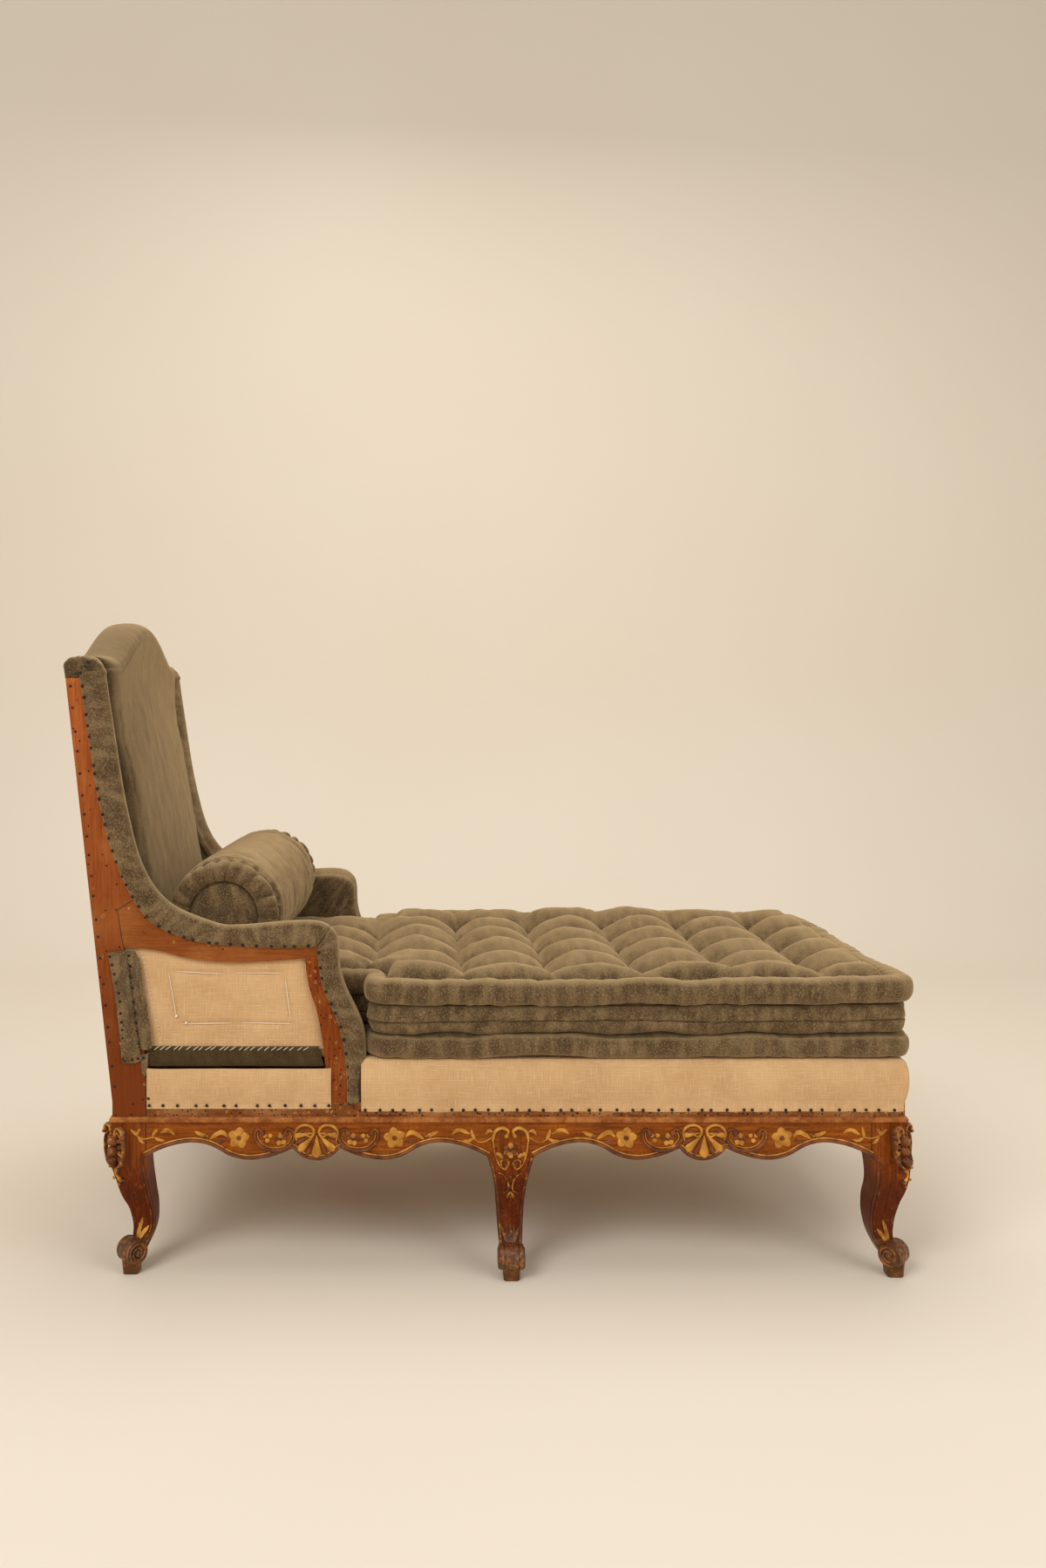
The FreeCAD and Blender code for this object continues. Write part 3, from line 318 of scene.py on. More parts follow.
# %% [markdown]
# ## Velvet
# Crushed cotton velvet: a short dense pile, grey-green to brown. Pile that leans away from
# the eye is dark, pile seen edge-on is pale, so every rim glows: that is the shader's sheen.
# Handling leaves soft blotches a few centimetres wide and brush marks along the cloth. The
# pile itself, about 1 mm, is drawn 3 mm coarse so that it shows at all.

# %% Velvet
BLOTCH, BRUSH, PILE = 0.038, (0.020, 0.060), 0.003


def velvet(name, dark, middle, light):
    """Blotches, brush marks and the pile's tips; painted highlight facing up, painted shade in
    creases.
    """
    finish, tree, bsdf, place = start_finish(name, Roughness=0.95, Sheen_Weight=0.75,
        Sheen_Roughness=0.55)
    bsdf.inputs["Sheen Tint"].default_value = linear("#e0c090")
    bsdf.inputs["Specular IOR Level"].default_value = 0.08
    cloth = add(tree, "Attribute", attribute_name="cloth").outputs["Vector"]
    fold = add(tree, "Attribute", attribute_name="fold").outputs["Fac"]
    blotch = mottled(tree, place, BLOTCH, 3.0, 0.62)
    stretched = add(tree, "Mapping", {"Vector": cloth, "Scale": (1 / BRUSH[0], 1 / BRUSH[1], 1.0)})
    brush = mottled(tree, stretched.outputs[0])
    pile = mottled(tree, place, PILE, rough=0.7)
    soft = mixed(tree, ranged(tree, blotch, 0.34, 0.60), dark, middle)
    brush_and_painted_shade = mixed(tree, ranged(tree, brush, 0.46, 0.66, 0.0, 0.32), soft, light)
    brush_and_painted_shade = mixed(tree, ranged(tree, brush, 0.34, 0.46, 0.45, 0.0), brush_and_painted_shade, dark)
    tips = mixed(tree, ranged(tree, pile, 0.50, 0.68, 0.0, 0.50), brush_and_painted_shade, light)
    rooted = mixed(tree, ranged(tree, pile, 0.32, 0.47, 0.55, 0.0), tips, dark)
    # painted highlight: faces that look up are mixed towards the light colour, as if lit from above
    up = add(tree, "SeparateXYZ", {0: add(tree, "NewGeometry").outputs["Normal"]}).outputs["Z"]
    painted_top_light = mixed(tree, ranged(tree, up, 0.45, 1.0, 0.0, 0.52), rooted, light)
    # painted shade: the per-point attribute mixes creases, tucks and seams towards near-black
    # #20180e
    tree.links.new(mixed(tree, ranged(tree, fold, 0.0, 1.0, 0.0, 0.80), painted_top_light, "#20180e"),
        bsdf.inputs["Base Color"])
    bumped(tree, bsdf, pile, 0.0012, 0.55)
    return finish


VELVET = velvet("cotton_velvet", "#423120", "#614c35", "#a0865e")
DARK_VELVET = velvet("velvet_reverse", "#2e2210", "#3f2f1a", "#58462c")
print("velvet:", BLOTCH * 1000, "mm blotches")

# %% [markdown]
# ## Hessian
# Plain weave of jute, natural and pale. Threads are about 1.2 mm apart on the real cloth and
# drawn 2.4 mm apart here, or they would blur away. Slubs, thicker stretches of yarn, run for
# a few centimetres along warp and weft, and the cloth is a little darker where it is handled.

# %% Hessian
THREAD = 0.0024
SLUB = (0.030, 0.0024)


def woven(name, dark, middle, light, thread=THREAD):
    """Two sine waves, one thread apart along the cloth's two directions, and slubs on each."""
    finish, tree, bsdf, place = start_finish(name, Roughness=0.95, Sheen_Weight=0.12)
    bsdf.inputs["Specular IOR Level"].default_value = 0.1
    cloth = add(tree, "Attribute", attribute_name="cloth").outputs["Vector"]
    heights, slubs = [], []
    for way, scale in (("X", (1 / SLUB[1], 1 / SLUB[0], 1.0)),
                       ("Y", (1 / SLUB[0], 1 / SLUB[1], 1.0))):
        wave = add(tree, "TexWave", {"Vector": cloth, "Scale": math.pi / 10 / thread,
            "Distortion": 1.2, "Detail": 1.0, "Detail Scale": 0.4}, bands_direction=way)
        slub = add(tree, "Mapping", {"Vector": cloth, "Scale": scale})
        slubs.append(mottled(tree, slub.outputs[0], detail=1.0))
        heights.append(wave.outputs["Fac"])
    weave = worked_out(tree, "MAXIMUM", heights[0], heights[1])
    yarn = worked_out(tree, "MAXIMUM", slubs[0], slubs[1])
    tone = mottled(tree, place, 0.07, 4.0)
    base = mixed(tree, ranged(tree, tone, 0.30, 0.70, 0.45, 1.0), dark, middle)
    slubbed = mixed(tree, ranged(tree, yarn, 0.5, 0.75, 0.0, 0.45), base, light)
    tree.links.new(mixed(tree, ranged(tree, weave, 0.15, 0.75, 0.60, 0.0), slubbed, dark),
        bsdf.inputs["Base Color"])
    bumped(tree, bsdf, weave, 0.0008, 0.7)
    return finish


HESSIAN = woven("jute_hessian", "#bd9060", "#e0b683", "#efd0a4")
WEBBING = woven("jute_webbing", "#6f5a3a", "#94794f", "#b3986c", 0.004)

# %% [markdown]
# ## Beech
# Steamed beech, oiled and handled until it is orange-brown. Fine flecks run with the grain.
# Old tacks have left dark holes, and where they were pulled out the wood is chipped pale.
# Each board has its own grain direction, so the finish is made once for each. Rails and legs
# were stained and varnished below the bead, warm on the rails and nearly black-brown on the
# legs; the bead is rubbed pale, and the strip above it is riddled with tack holes.

# %% Raw beech
GRAIN = (0.005, 0.09)      # across and along the grain
FLECK = (0.0016, 0.012)


def stretched_along(tree, place, axis, across, along):
    """Coordinates squeezed so that a noise of scale 1 is drawn out along one axis."""
    scale = [1 / along if i == axis else 1 / across for i in range(3)]
    return add(tree, "Mapping", {"Vector": place, "Scale": scale}).outputs[0]


def tack_marks(tree, place, wood, pitch, share):
    """Old tack holes: a share of a flat Voronoi's cells has a dark hole, some chipped pale."""
    x, y, z = add(tree, "SeparateXYZ", {0: place}).outputs
    around = worked_out(tree, "ADD", x, y)
    flat = add(tree, "CombineXYZ", {0: around, 1: z}).outputs[0]
    cells = add(tree, "TexVoronoi", {"Vector": flat, "Scale": 1 / pitch, "Randomness": 0.9},
        voronoi_dimensions="2D")
    lot = add(tree, "SeparateColor", {0: cells.outputs["Color"]})
    edge = mottled(tree, place, 0.003, 3.0)
    ragged = worked_out(tree, "MULTIPLY_ADD", edge, 0.0070 / pitch, cells.outputs["Distance"])
    hole_r, chip_r = 0.0050 / pitch, 0.0062 / pitch
    has_hole = ranged(tree, lot.outputs[0], 1 - share, 1 - share + 0.01)
    has_chip = ranged(tree, lot.outputs[1], 0.68, 0.69)
    holes, chips = [worked_out(tree, "MULTIPLY", ranged(tree, ragged, 0.85 * r, r, 1.0, 0.0),
                               has_hole) for r in (hole_r, chip_r)]
    chips = worked_out(tree, "MULTIPLY", chips, has_chip)
    return mixed(tree, holes, mixed(tree, chips, wood, "#cf8c4e"), "#170b05"), holes


RAIL_STAIN = ("#5c2804", "#a3540f", "#c4792b")


def beech(name, axis, colours, hole_pitch, share, stain=None, faded=None):
    """Raw beech, tack marks; may be stained below the bead, painted shade low; darker by the seat.
    """
    dark, middle, light = colours
    finish, tree, bsdf, place = start_finish(name, Roughness=0.5)
    bsdf.inputs["Specular IOR Level"].default_value = 0.13
    grain = mottled(tree, stretched_along(tree, place, axis, *GRAIN), detail=5.0, rough=0.6,
        Distortion=0.3)
    fleck = mottled(tree, stretched_along(tree, place, axis, *FLECK))
    tone = mottled(tree, place, 0.09, 4.0)
    height = add(tree, "SeparateXYZ", {0: place}).outputs["Z"]
    wood = mixed(tree, ranged(tree, grain, 0.3, 0.7), dark, middle)
    wood = mixed(tree, ranged(tree, tone, 0.45, 0.7, 0.0, 0.6), wood, light)
    wood = mixed(tree, ranged(tree, fleck, 0.56, 0.70, 0.0, 0.55), wood, dark)
    if faded:
        wood = mixed(tree, ranged(tree, height, 0.42, 1.05, 0.85, 0.0), wood, faded)
    wood, holes = tack_marks(tree, place, wood, hole_pitch, share)
    if stain:
        low, field, worn = stain
        rub = mottled(tree, place, 0.022, 5.0, 0.7)
        dent = mottled(tree, place, 0.0045)
        stained = mixed(tree, ranged(tree, grain, 0.3, 0.7), low, field)
        stained = mixed(tree, ranged(tree, rub, 0.54, 0.70, 0.0, 0.60), stained, worn)
        stained = mixed(tree, ranged(tree, dent, 0.66, 0.72, 0.0, 0.7), stained, low)
        # painted shade: the stained wood darkens below 0.235 m, towards the floor
        stained = mixed(tree, ranged(tree, height, 0.15, 0.235, 0.60, 0.0), stained, low)
        head = mixed(tree, ranged(tree, grain, 0.3, 0.7), RAIL_STAIN[0], RAIL_STAIN[1])
        stained = mixed(tree, ranged(tree, height, 0.17, 0.25, 0.0, 0.75), stained, head)
        toe = ranged(tree, height, 0.050, 0.068, 0.65, 0.0)
        stained = mixed(tree, toe, stained,
            mixed(tree, ranged(tree, rub, 0.45, 0.6), "#5b452c", "#8d5a30"))
        bead = mixed(tree, ranged(tree, rub, 0.40, 0.62), "#8a4a1e", "#b3713a")
        stained = mixed(tree, ranged(tree, height, BEAD_Z - 0.0004, BEAD_Z + 0.0010), stained, bead)
        above = ranged(tree, height, BEAD_Z + 0.0112, BEAD_Z + 0.0122)
        wood = mixed(tree, above, stained, wood)
        tree.links.new(ranged(tree, above, 0.0, 1.0, 0.34, 0.55), bsdf.inputs["Roughness"])
    tree.links.new(wood, bsdf.inputs["Base Color"])
    deep = worked_out(tree, "MULTIPLY_ADD", holes, -6.0, grain)
    bumped(tree, bsdf, deep, 0.0006, 0.6)
    return finish


ORANGE = ("#8a4216", "#b8642c", "#cb7d42")
BROWN = ("#672c08", "#92450f", "#b56a2e")
STRIP = ("#5e2e10", "#8c5226", "#bb8350")
LEG_STAIN = ("#441600", "#893803", "#b8641c")
BEECH_POST = beech("oiled_beech_post", 2, ORANGE, 0.026, 0.60, LEG_STAIN, "#672b03")
BEECH_ARM = beech("oiled_beech_arm_rail", 0, ("#74380f", "#96521f", "#ad6a36"), 0.030, 0.35)
BEECH_STUMP = beech("oiled_beech_stump", 2, BROWN, 0.0095, 0.50)
BEECH_INNER = beech("sawn_beech", 1, ("#8d6a43", "#ab8658", "#c4a274"), 0.2, 0.05)
VARNISHED_RAIL = beech("varnished_beech_rail", 0, STRIP, 0.0085, 0.75, RAIL_STAIN)
VARNISHED_LEG = beech("varnished_beech_leg", 2, STRIP, 0.0085, 0.75, LEG_STAIN)

# %% [markdown]
# ## Gilding
# The gilder laid gold on flowers, leaves, ribs and the line along the rail, and a century of
# hands and feet has rubbed it. The gold stays on the carving's high places; low places are
# painted dark, as dirt and as painted shade. Each carved point carries two values: how much
# gold the carver meant it to have, and how high it stands in its relief.

# %% Gilding
def gilded(name):
    """Gold where gilt * (0.55 + 0.45 * relief) outweighs 1.5 times the rubbing noise."""
    finish, tree, bsdf, place = start_finish(name, Roughness=0.42)
    bsdf.inputs["Specular IOR Level"].default_value = 0.3
    gilt = add(tree, "Attribute", attribute_name="gilt").outputs["Fac"]
    relief = add(tree, "Attribute", attribute_name="relief").outputs["Fac"]
    rub = mottled(tree, place, 0.009, 5.0, 0.75)
    tone = mottled(tree, place, 0.02, 3.0)
    height = add(tree, "SeparateXYZ", {0: place}).outputs["Z"]
    brown = mixed(tree, ranged(tree, tone, 0.35, 0.65), "#5a2a0c", "#8c4e20")
    # painted shade: the carving's brown darkens below 0.26 m, towards the floor
    brown = mixed(tree, ranged(tree, height, 0.17, 0.26, 0.65, 0.0), brown, "#3c1402")
    toe = mixed(tree, ranged(tree, rub, 0.47, 0.58), "#57432e", "#b06c32")
    brown = mixed(tree, ranged(tree, height, 0.050, 0.068, 0.85, 0.0), brown, toe)
    gold = mixed(tree, ranged(tree, tone, 0.3, 0.7), "#a0651b", "#dd9f43")
    high = worked_out(tree, "MULTIPLY_ADD", relief, 0.45, 0.55)
    meant = worked_out(tree, "MULTIPLY", gilt, high)
    kept = worked_out(tree, "MULTIPLY_ADD", rub, -1.5, meant)
    cover = ranged(tree, kept, -0.32, -0.14)
    colour = mixed(tree, cover, brown, gold)
    # low places of the relief are painted near-black: painted shade, with their dirt
    colour = mixed(tree, ranged(tree, relief, 0.0, 0.42, 0.80, 0.0), colour, "#2a1203")
    tree.links.new(colour, bsdf.inputs["Base Color"])
    tree.links.new(ranged(tree, cover, 0.0, 1.0, 0.0, 0.30), bsdf.inputs["Metallic"])
    bumped(tree, bsdf, rub, 0.0006, 0.4)
    return finish


GILDING = gilded("rubbed_gilding")

# %% [markdown]
# ## Tacks, thread and cloth edges
# Blued cut tacks hold every cloth edge. Waxed linen thread, nearly white, holds the panel.

# %% Tacks and thread
BLUED, tree, bsdf, place = start_finish("blued_iron_tack", Metallic=0.5, Roughness=0.45)
rust = mottled(tree, place, 0.006)
tree.links.new(mixed(tree, ranged(tree, rust, 0.5, 0.75), "#1e1b1a", "#4a3324"),
    bsdf.inputs["Base Color"])

LINEN, tree, bsdf, place = start_finish("waxed_linen_thread", Roughness=0.7)
twist = mottled(tree, place, 0.002)
tree.links.new(mixed(tree, twist, "#d8ccb4", "#f4ecdc"), bsdf.inputs["Base Color"])
print(len(bpy.data.materials), "finishes")

# %% [markdown]
# ## Swollen cloth
# Velvet over stuffing is held along its seams and at its tufts, and swells between them. A
# short cloth simulation with pressure from inside gives the small wrinkles that a formula
# cannot. The piece starts slightly too small, and no point may move farther than its cap.

# %% Swollen cloth
def swollen(thing, held, cap, frames=12):
    """Steps a cloth with pressure 4 and no gravity; no point moves farther than cap."""
    mesh, scene = thing.data, bpy.context.scene
    start, fold = np.empty(3 * len(mesh.vertices)), np.empty(len(mesh.vertices))
    mesh.vertices.foreach_get("co", start)
    mesh.attributes["fold"].data.foreach_get("value", fold)
    start = start.reshape(-1, 3)
    pins = thing.vertex_groups.new(name="held")
    pins.add(np.flatnonzero(held(start, fold)).tolist(), 1.0, "REPLACE")
    cloth = thing.modifiers.new("swell", "CLOTH")
    cloth.settings.use_pressure, cloth.settings.uniform_pressure_force = True, 4.0
    cloth.settings.effector_weights.gravity = 0.0
    cloth.settings.vertex_group_mass = pins.name
    cloth.settings.shrink_min = -0.03
    cloth.settings.quality = 4
    cloth.point_cache.frame_end = frames
    for number in range(1, frames + 1):
        scene.frame_set(number)
    end = np.empty(start.size)
    thing.evaluated_get(bpy.context.evaluated_depsgraph_get()).data.vertices.foreach_get("co", end)
    move = end.reshape(-1, 3) - start
    far = np.linalg.norm(move, axis=1, keepdims=True)
    move *= cap * np.tanh(far / cap) / np.maximum(far, 1e-9)
    thing.modifiers.remove(cloth)
    thing.vertex_groups.remove(pins)
    mesh.vertices.foreach_set("co", (start + move).ravel())
    mesh.update()
    scene.frame_set(1)
    print(thing.name, "swollen by up to",
        round(1000 * float(np.linalg.norm(move, axis=1).max()), 1), "mm")


# %% [markdown]
# ## Mattress edge
# A stuffed mattress gets its firm edge from stitched rolls: the upholsterer catches a fistful
# of hair inside the border with twine, and the edge stands up in a lumpy roll with a pinch at
# each stitch. Here a section, drawn once, is carried along the T-shaped outline. Its roll
# radius drops at every stitch, and the pinch leans, because the twine pulls at a slant.

# %% Mattress edge
ROLL_SET = 0.022                                   # middle line of the rolls inside the outline
LOW_ROLL, TOP_ROLL = (0.4275, 0.0212), (0.5290, 0.0236)   # height of the middle, radius
MATTRESS_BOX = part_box("mattress")
MATTRESS_HEAD, MATTRESS_FOOT = MATTRESS_BOX[0][0], MATTRESS_BOX[1][0]
WIDE, NARROW, NOTCH_X = 0.390, 0.310, -0.235


def rounded_loop(corners, radii, pitch):
    """Closed outline with tangent arcs at its corners, resampled at an even pitch."""
    p = np.array(corners, float)
    before, after = np.roll(p, 1, 0) - p, np.roll(p, -1, 0) - p
    before /= np.linalg.norm(before, axis=1)[:, None]
    after /= np.linalg.norm(after, axis=1)[:, None]
    r = np.array(radii)[:, None]
    a, c = p + before * r, p + after * r
    centre = p + (before + after) * r
    turn = np.linspace(0, math.pi / 2, 9)[None, :, None]
    arcs = (centre[:, None] + (a - centre)[:, None] * np.cos(turn)
        + (c - centre)[:, None] * np.sin(turn))
    loop = arcs.reshape(-1, 2)
    loop = np.vstack([loop, loop[:1]])
    return evenly(loop, int(lengths(loop)[-1] / pitch) + 1)[:-1]


def t_corners(inwards):
    """Corners of the T in plan, counter-clockwise from above, moved inwards."""
    head, foot, notch = MATTRESS_HEAD + inwards, MATTRESS_FOOT - inwards, NOTCH_X + inwards
    wide, narrow = WIDE - inwards, NARROW - inwards
    right = [(head, 0), (head, -narrow), (notch, -narrow), (notch, -wide), (foot, -wide)]
    return right + [(x, -y) for x, y in right[:0:-1]]


def carried(path, out, up, across, fold):
    """A section carried along a closed path in plan: out is along its normal, up is the height."""
    normal = along_and_aside(np.vstack([path[-1:], path, path[:1]]))[1][1:-1]
    points = np.concatenate([path[:, None] + normal[:, None] * out[..., None], up[..., None]], -1)
    far = np.linspace(0, 1, len(path)) * (lengths(path)[-1])
    points = np.concatenate([points, points[:1]])
    cloth = (np.append(far, far[-1] + 0.004)[:, None] * np.ones(len(across)),
        across[None] * np.ones((len(path) + 1, 1)))
    return surface(points, cloth, fold=np.clip(np.concatenate([fold, fold[:1]]), 0, 1))


def square(turn):
    """Radius of a rounded square: 1 / (|cos|^p + |sin|^p)^(1/p), with p = 2.9."""
    return (np.abs(np.cos(turn)) ** 2.9 + np.abs(np.sin(turn)) ** 2.9) ** (-1 / 2.9)


def mattress_edge():
    """Low roll, border, top roll: the radius falls by up to a fifth at slanting stitches."""
    path = rounded_loop(t_corners(ROLL_SET),
        [0.02] + [0.024, 0.03, 0.022, 0.028] + [0.028, 0.022, 0.03, 0.024], 0.004)
    far = lengths(np.vstack([path, path[:1]]))[:-1][:, None]
    total = far[-1, 0]
    parts = []
    for (z, r), start, end, seed in ((LOW_ROLL, -118, 64, 3), (TOP_ROLL, -64, 158, 5)):
        turn = np.radians(np.linspace(start, end, 16 if seed == 3 else 20))[None]
        marks = stitch_marks(total, 0.031, seed)
        slant = (far + 0.009 * np.sin(turn) * (1 + ripple(far, 0.3, seed))
            + 0.007 * ripple(far, 0.06, seed))
        deep = np.clip(0.30 + 0.9 * ripple(far, 0.11, seed + 4) ** 3
            + 0.15 * ripple(far, 0.04, seed + 5), 0.10, 1.0)
        pinch = 1 - deep * (1 - np.sin(math.pi * between(slant, marks)) ** 0.7)
        radius = r * (0.80 + 0.20 * pinch) * (1 + 0.06 * ripple(far, 0.08, seed + 1)) * square(turn)
        sway = 0.0044 * ripple(far, 0.09, seed + 2) + 0.0022 * ripple(far, 0.034, seed + 7)
        ends = (np.clip((12 - np.degrees(turn - turn[:, :1])) / 12, 0, 1)
            + np.clip((np.degrees(turn - turn[:, -1:]) + 12) / 12, 0, 1))
        # the third value is painted shade: dark in the pinches and where each roll meets the border
        parts.append((radius * np.cos(turn) + 0.5 * sway, z + radius * np.sin(turn) + sway,
            0.55 * (1 - pinch) + 0.8 * ends))
    share = np.linspace(0, 1, 25)[None]
    low = LOW_ROLL[0] + 0.0215 + 0.0040 * ripple(far, 0.08, 8)
    high = TOP_ROLL[0] - 0.0235 + 0.0034 * ripple(far, 0.10, 7)
    height = low + (high - low) * share
    seam = 0.4740 + 0.0030 * ripple(far, 0.10, 10) + 0.0012 * ripple(far, 0.03, 14)
    spot = stacked(far, height)
    out = (0.002 + 0.0125 * np.sin(math.pi * share) ** 0.45 + 0.0034 * noise(spot, 0.030, 11)
        + 0.0018 * noise(spot, 0.012, 12))
    in_seam = np.exp(-((height - seam) / 0.0017) ** 2)
    out = out - 0.0055 * in_seam
    # painted shade on the border next to each roll and in its seam
    fold = 0.9 * np.exp(-share / 0.10) + 0.9 * np.exp(-(1 - share) / 0.10) + 0.65 * in_seam
    outs = np.concatenate([parts[0][0], out, parts[1][0], np.full_like(far, -0.0215)], 1)
    ups = np.concatenate([parts[0][1], height, parts[1][1], np.full_like(far, 0.512)], 1)
    # the tuck under the top is painted fully dark
    painted_crease_shades = np.concatenate([parts[0][2] + 0 * far, fold, parts[1][2] + 0 * far,
        np.full_like(far, 1.0)], 1)
    across = np.linspace(0, 0.24, outs.shape[1])
    return carried(path, outs, ups, across, painted_crease_shades)


# %% [markdown]
# ## Tufted top
# Twine goes right through the mattress at each tuft and pulls the top down. Between four
# tufts the stuffing stands up in a puff, and from tuft to tuft the velvet folds into a groove.
# The height is a product of two arches, one along and one across, less a dip at the tufts.

# %% Tufted top
TUFTS_X = np.array([-0.737, -0.565, -0.393, -0.221, -0.046, 0.124, 0.296, 0.468, 0.638, 0.785])
TUFTS_Y = np.array([-0.365, -0.26, -0.13, 0.0, 0.13, 0.26, 0.365])
TOP_LOW, PUFF = 0.498, 0.070
PRESSED = 0.5522                                   # under the bolster the puffs are pressed flat
BOLSTER_X = -0.4985


def inside_t(x, y, inwards):
    """Distance inside the T's outline: the larger of the distances inside its two rectangles."""
    narrow = np.minimum(np.minimum(x - MATTRESS_HEAD, MATTRESS_FOOT - x), NARROW - abs(y))
    wide = np.minimum(np.minimum(x - NOTCH_X, MATTRESS_FOOT - x), WIDE - abs(y))
    return np.maximum(narrow, wide) - inwards


def quilted(x, y):
    """Height of the tufted top: arches between tufts, a dip and rays at each tuft, soft lumps."""
    u, v = between(x, TUFTS_X), between(y, TUFTS_Y)
    spot = stacked(x, y)
    along = 0.44 + 0.56 * np.sin(math.pi * u) ** 0.75
    across = 0.22 + 0.78 * np.sin(math.pi * v) ** 0.55
    deep = inside_t(x, y, 0.036)
    edge = np.sin(math.pi / 2 * np.clip(deep / 0.036, 0, 1)) ** 0.5
    tufted = np.clip((deep - 0.010) / 0.080, 0, 1)
    along, across = 1 - (1 - along) * tufted, 1 - (1 - across) * tufted
    size = 1 + 0.06 * noise(spot, 0.15, 21)
    near_x = TUFTS_X[np.abs(x[..., None] - TUFTS_X).argmin(-1)]
    near_y = TUFTS_Y[np.abs(y[..., None] - TUFTS_Y).argmin(-1)]
    r = np.hypot(x - near_x, y - near_y)
    rays = np.cos(7 * np.arctan2(y - near_y, x - near_x) + 9 * near_x + 5 * near_y)
    z = TOP_LOW + PUFF * along * across * edge * size
    z += 0.0022 * rays * np.exp(-((r - 0.024) / 0.016) ** 2) - 0.012 * np.exp(-(r / 0.011) ** 2)
    z += 0.0030 * noise(spot, 0.045, 22) + 0.0012 * noise(spot, 0.017, 23)
    under = np.exp(-(np.clip(abs(x - BOLSTER_X) - 0.06, 0, None) / 0.02) ** 2)
    return np.minimum(z, PRESSED + 0.05 * (1 - under))


def mattress_sheet(pitch, height, flip=False):
    """A sheet over the T: grid points outside its outline are left out with their faces."""
    xs = np.arange(MATTRESS_HEAD, MATTRESS_FOOT + pitch, pitch)
    ys = np.arange(-WIDE, WIDE + pitch, pitch)
    x, y = np.meshgrid(xs, ys, indexing="ij")
    z = height(x, y)
    # painted shade: the valleys between the puffs are darkened
    valley = np.clip(1 - (z - TOP_LOW) / (0.50 * PUFF), 0, 1) ** 1.5
    part = surface(stacked(x, y, z), (x, y), flip=flip, fold=0.6 * valley)
    inner = (inside_t(x, y, ROLL_SET - 0.004) > 0).ravel()
    faces = part.pop("faces")
    used, faces = np.unique(faces[inner[faces].all(1)], return_inverse=True)
    return {"faces": faces.reshape(-1, 4), **{key: value[used] for key, value in part.items()}}


def underside(x, y):
    """Nearly flat: the same tufts show as shallow dimples."""
    u, v = between(x, TUFTS_X), between(y, TUFTS_Y)
    return (0.4058 + 0.004
        * np.exp(-(np.minimum(np.hypot(np.sin(math.pi * u), np.sin(math.pi * v)), 1) / 0.3) ** 2))


edge = piece("mattress_edge", mattress_edge(), VELVET, "mattress")
top = piece("mattress_top", mattress_sheet(0.006, quilted), VELVET, "mattress",
    ["mattress"])
base = piece("mattress_underside", mattress_sheet(0.012, underside, flip=True), VELVET,
    "mattress")
swollen(top, lambda p, fold: (fold > 0.56)
    | (np.abs(p[:, 0] - BOLSTER_X) < 0.11) & (np.abs(p[:, 1]) < NARROW), 0.006)
for thing in (edge, top, base):
    print(thing.name, len(thing.data.polygons), "faces")

# %% [markdown]
# ## Bolster
# A bolster is a tube of velvet with a round gusset sewn into each end. The end is stitched
# into a roll like the mattress edge, and the seam beside it gathers the tube in small puckers.
# So the piece is turned: a profile from gusset to gusset, with a radius that changes round it.

# %% Bolster
BOLSTER_Z, BOLSTER_HALF = 0.6575, 0.308
SKEW = 0.042                                       # it lies a little askew
LIES = 0.5540                                      # the bolster is flat where it lies
# distance from the end, radius: gusset, its crease, the roll, the piped seam, the tube
END_PROFILE = [(0.013, 0.0), (0.010, 0.020), (0.010, 0.045), (0.0135, 0.060), (0.0150, 0.0645),
               (0.0070, 0.0680), (0.0015, 0.0760), (0.0010, 0.0870), (0.0060, 0.0970),
               (0.0160, 0.1015), (0.0260, 0.0995), (0.0315, 0.0935), (0.0345, 0.0975),
               (0.0375, 0.0945), (0.0440, 0.0990), (0.0560, 0.1020), (0.0800, 0.1032),
               (0.1200, 0.1038)]


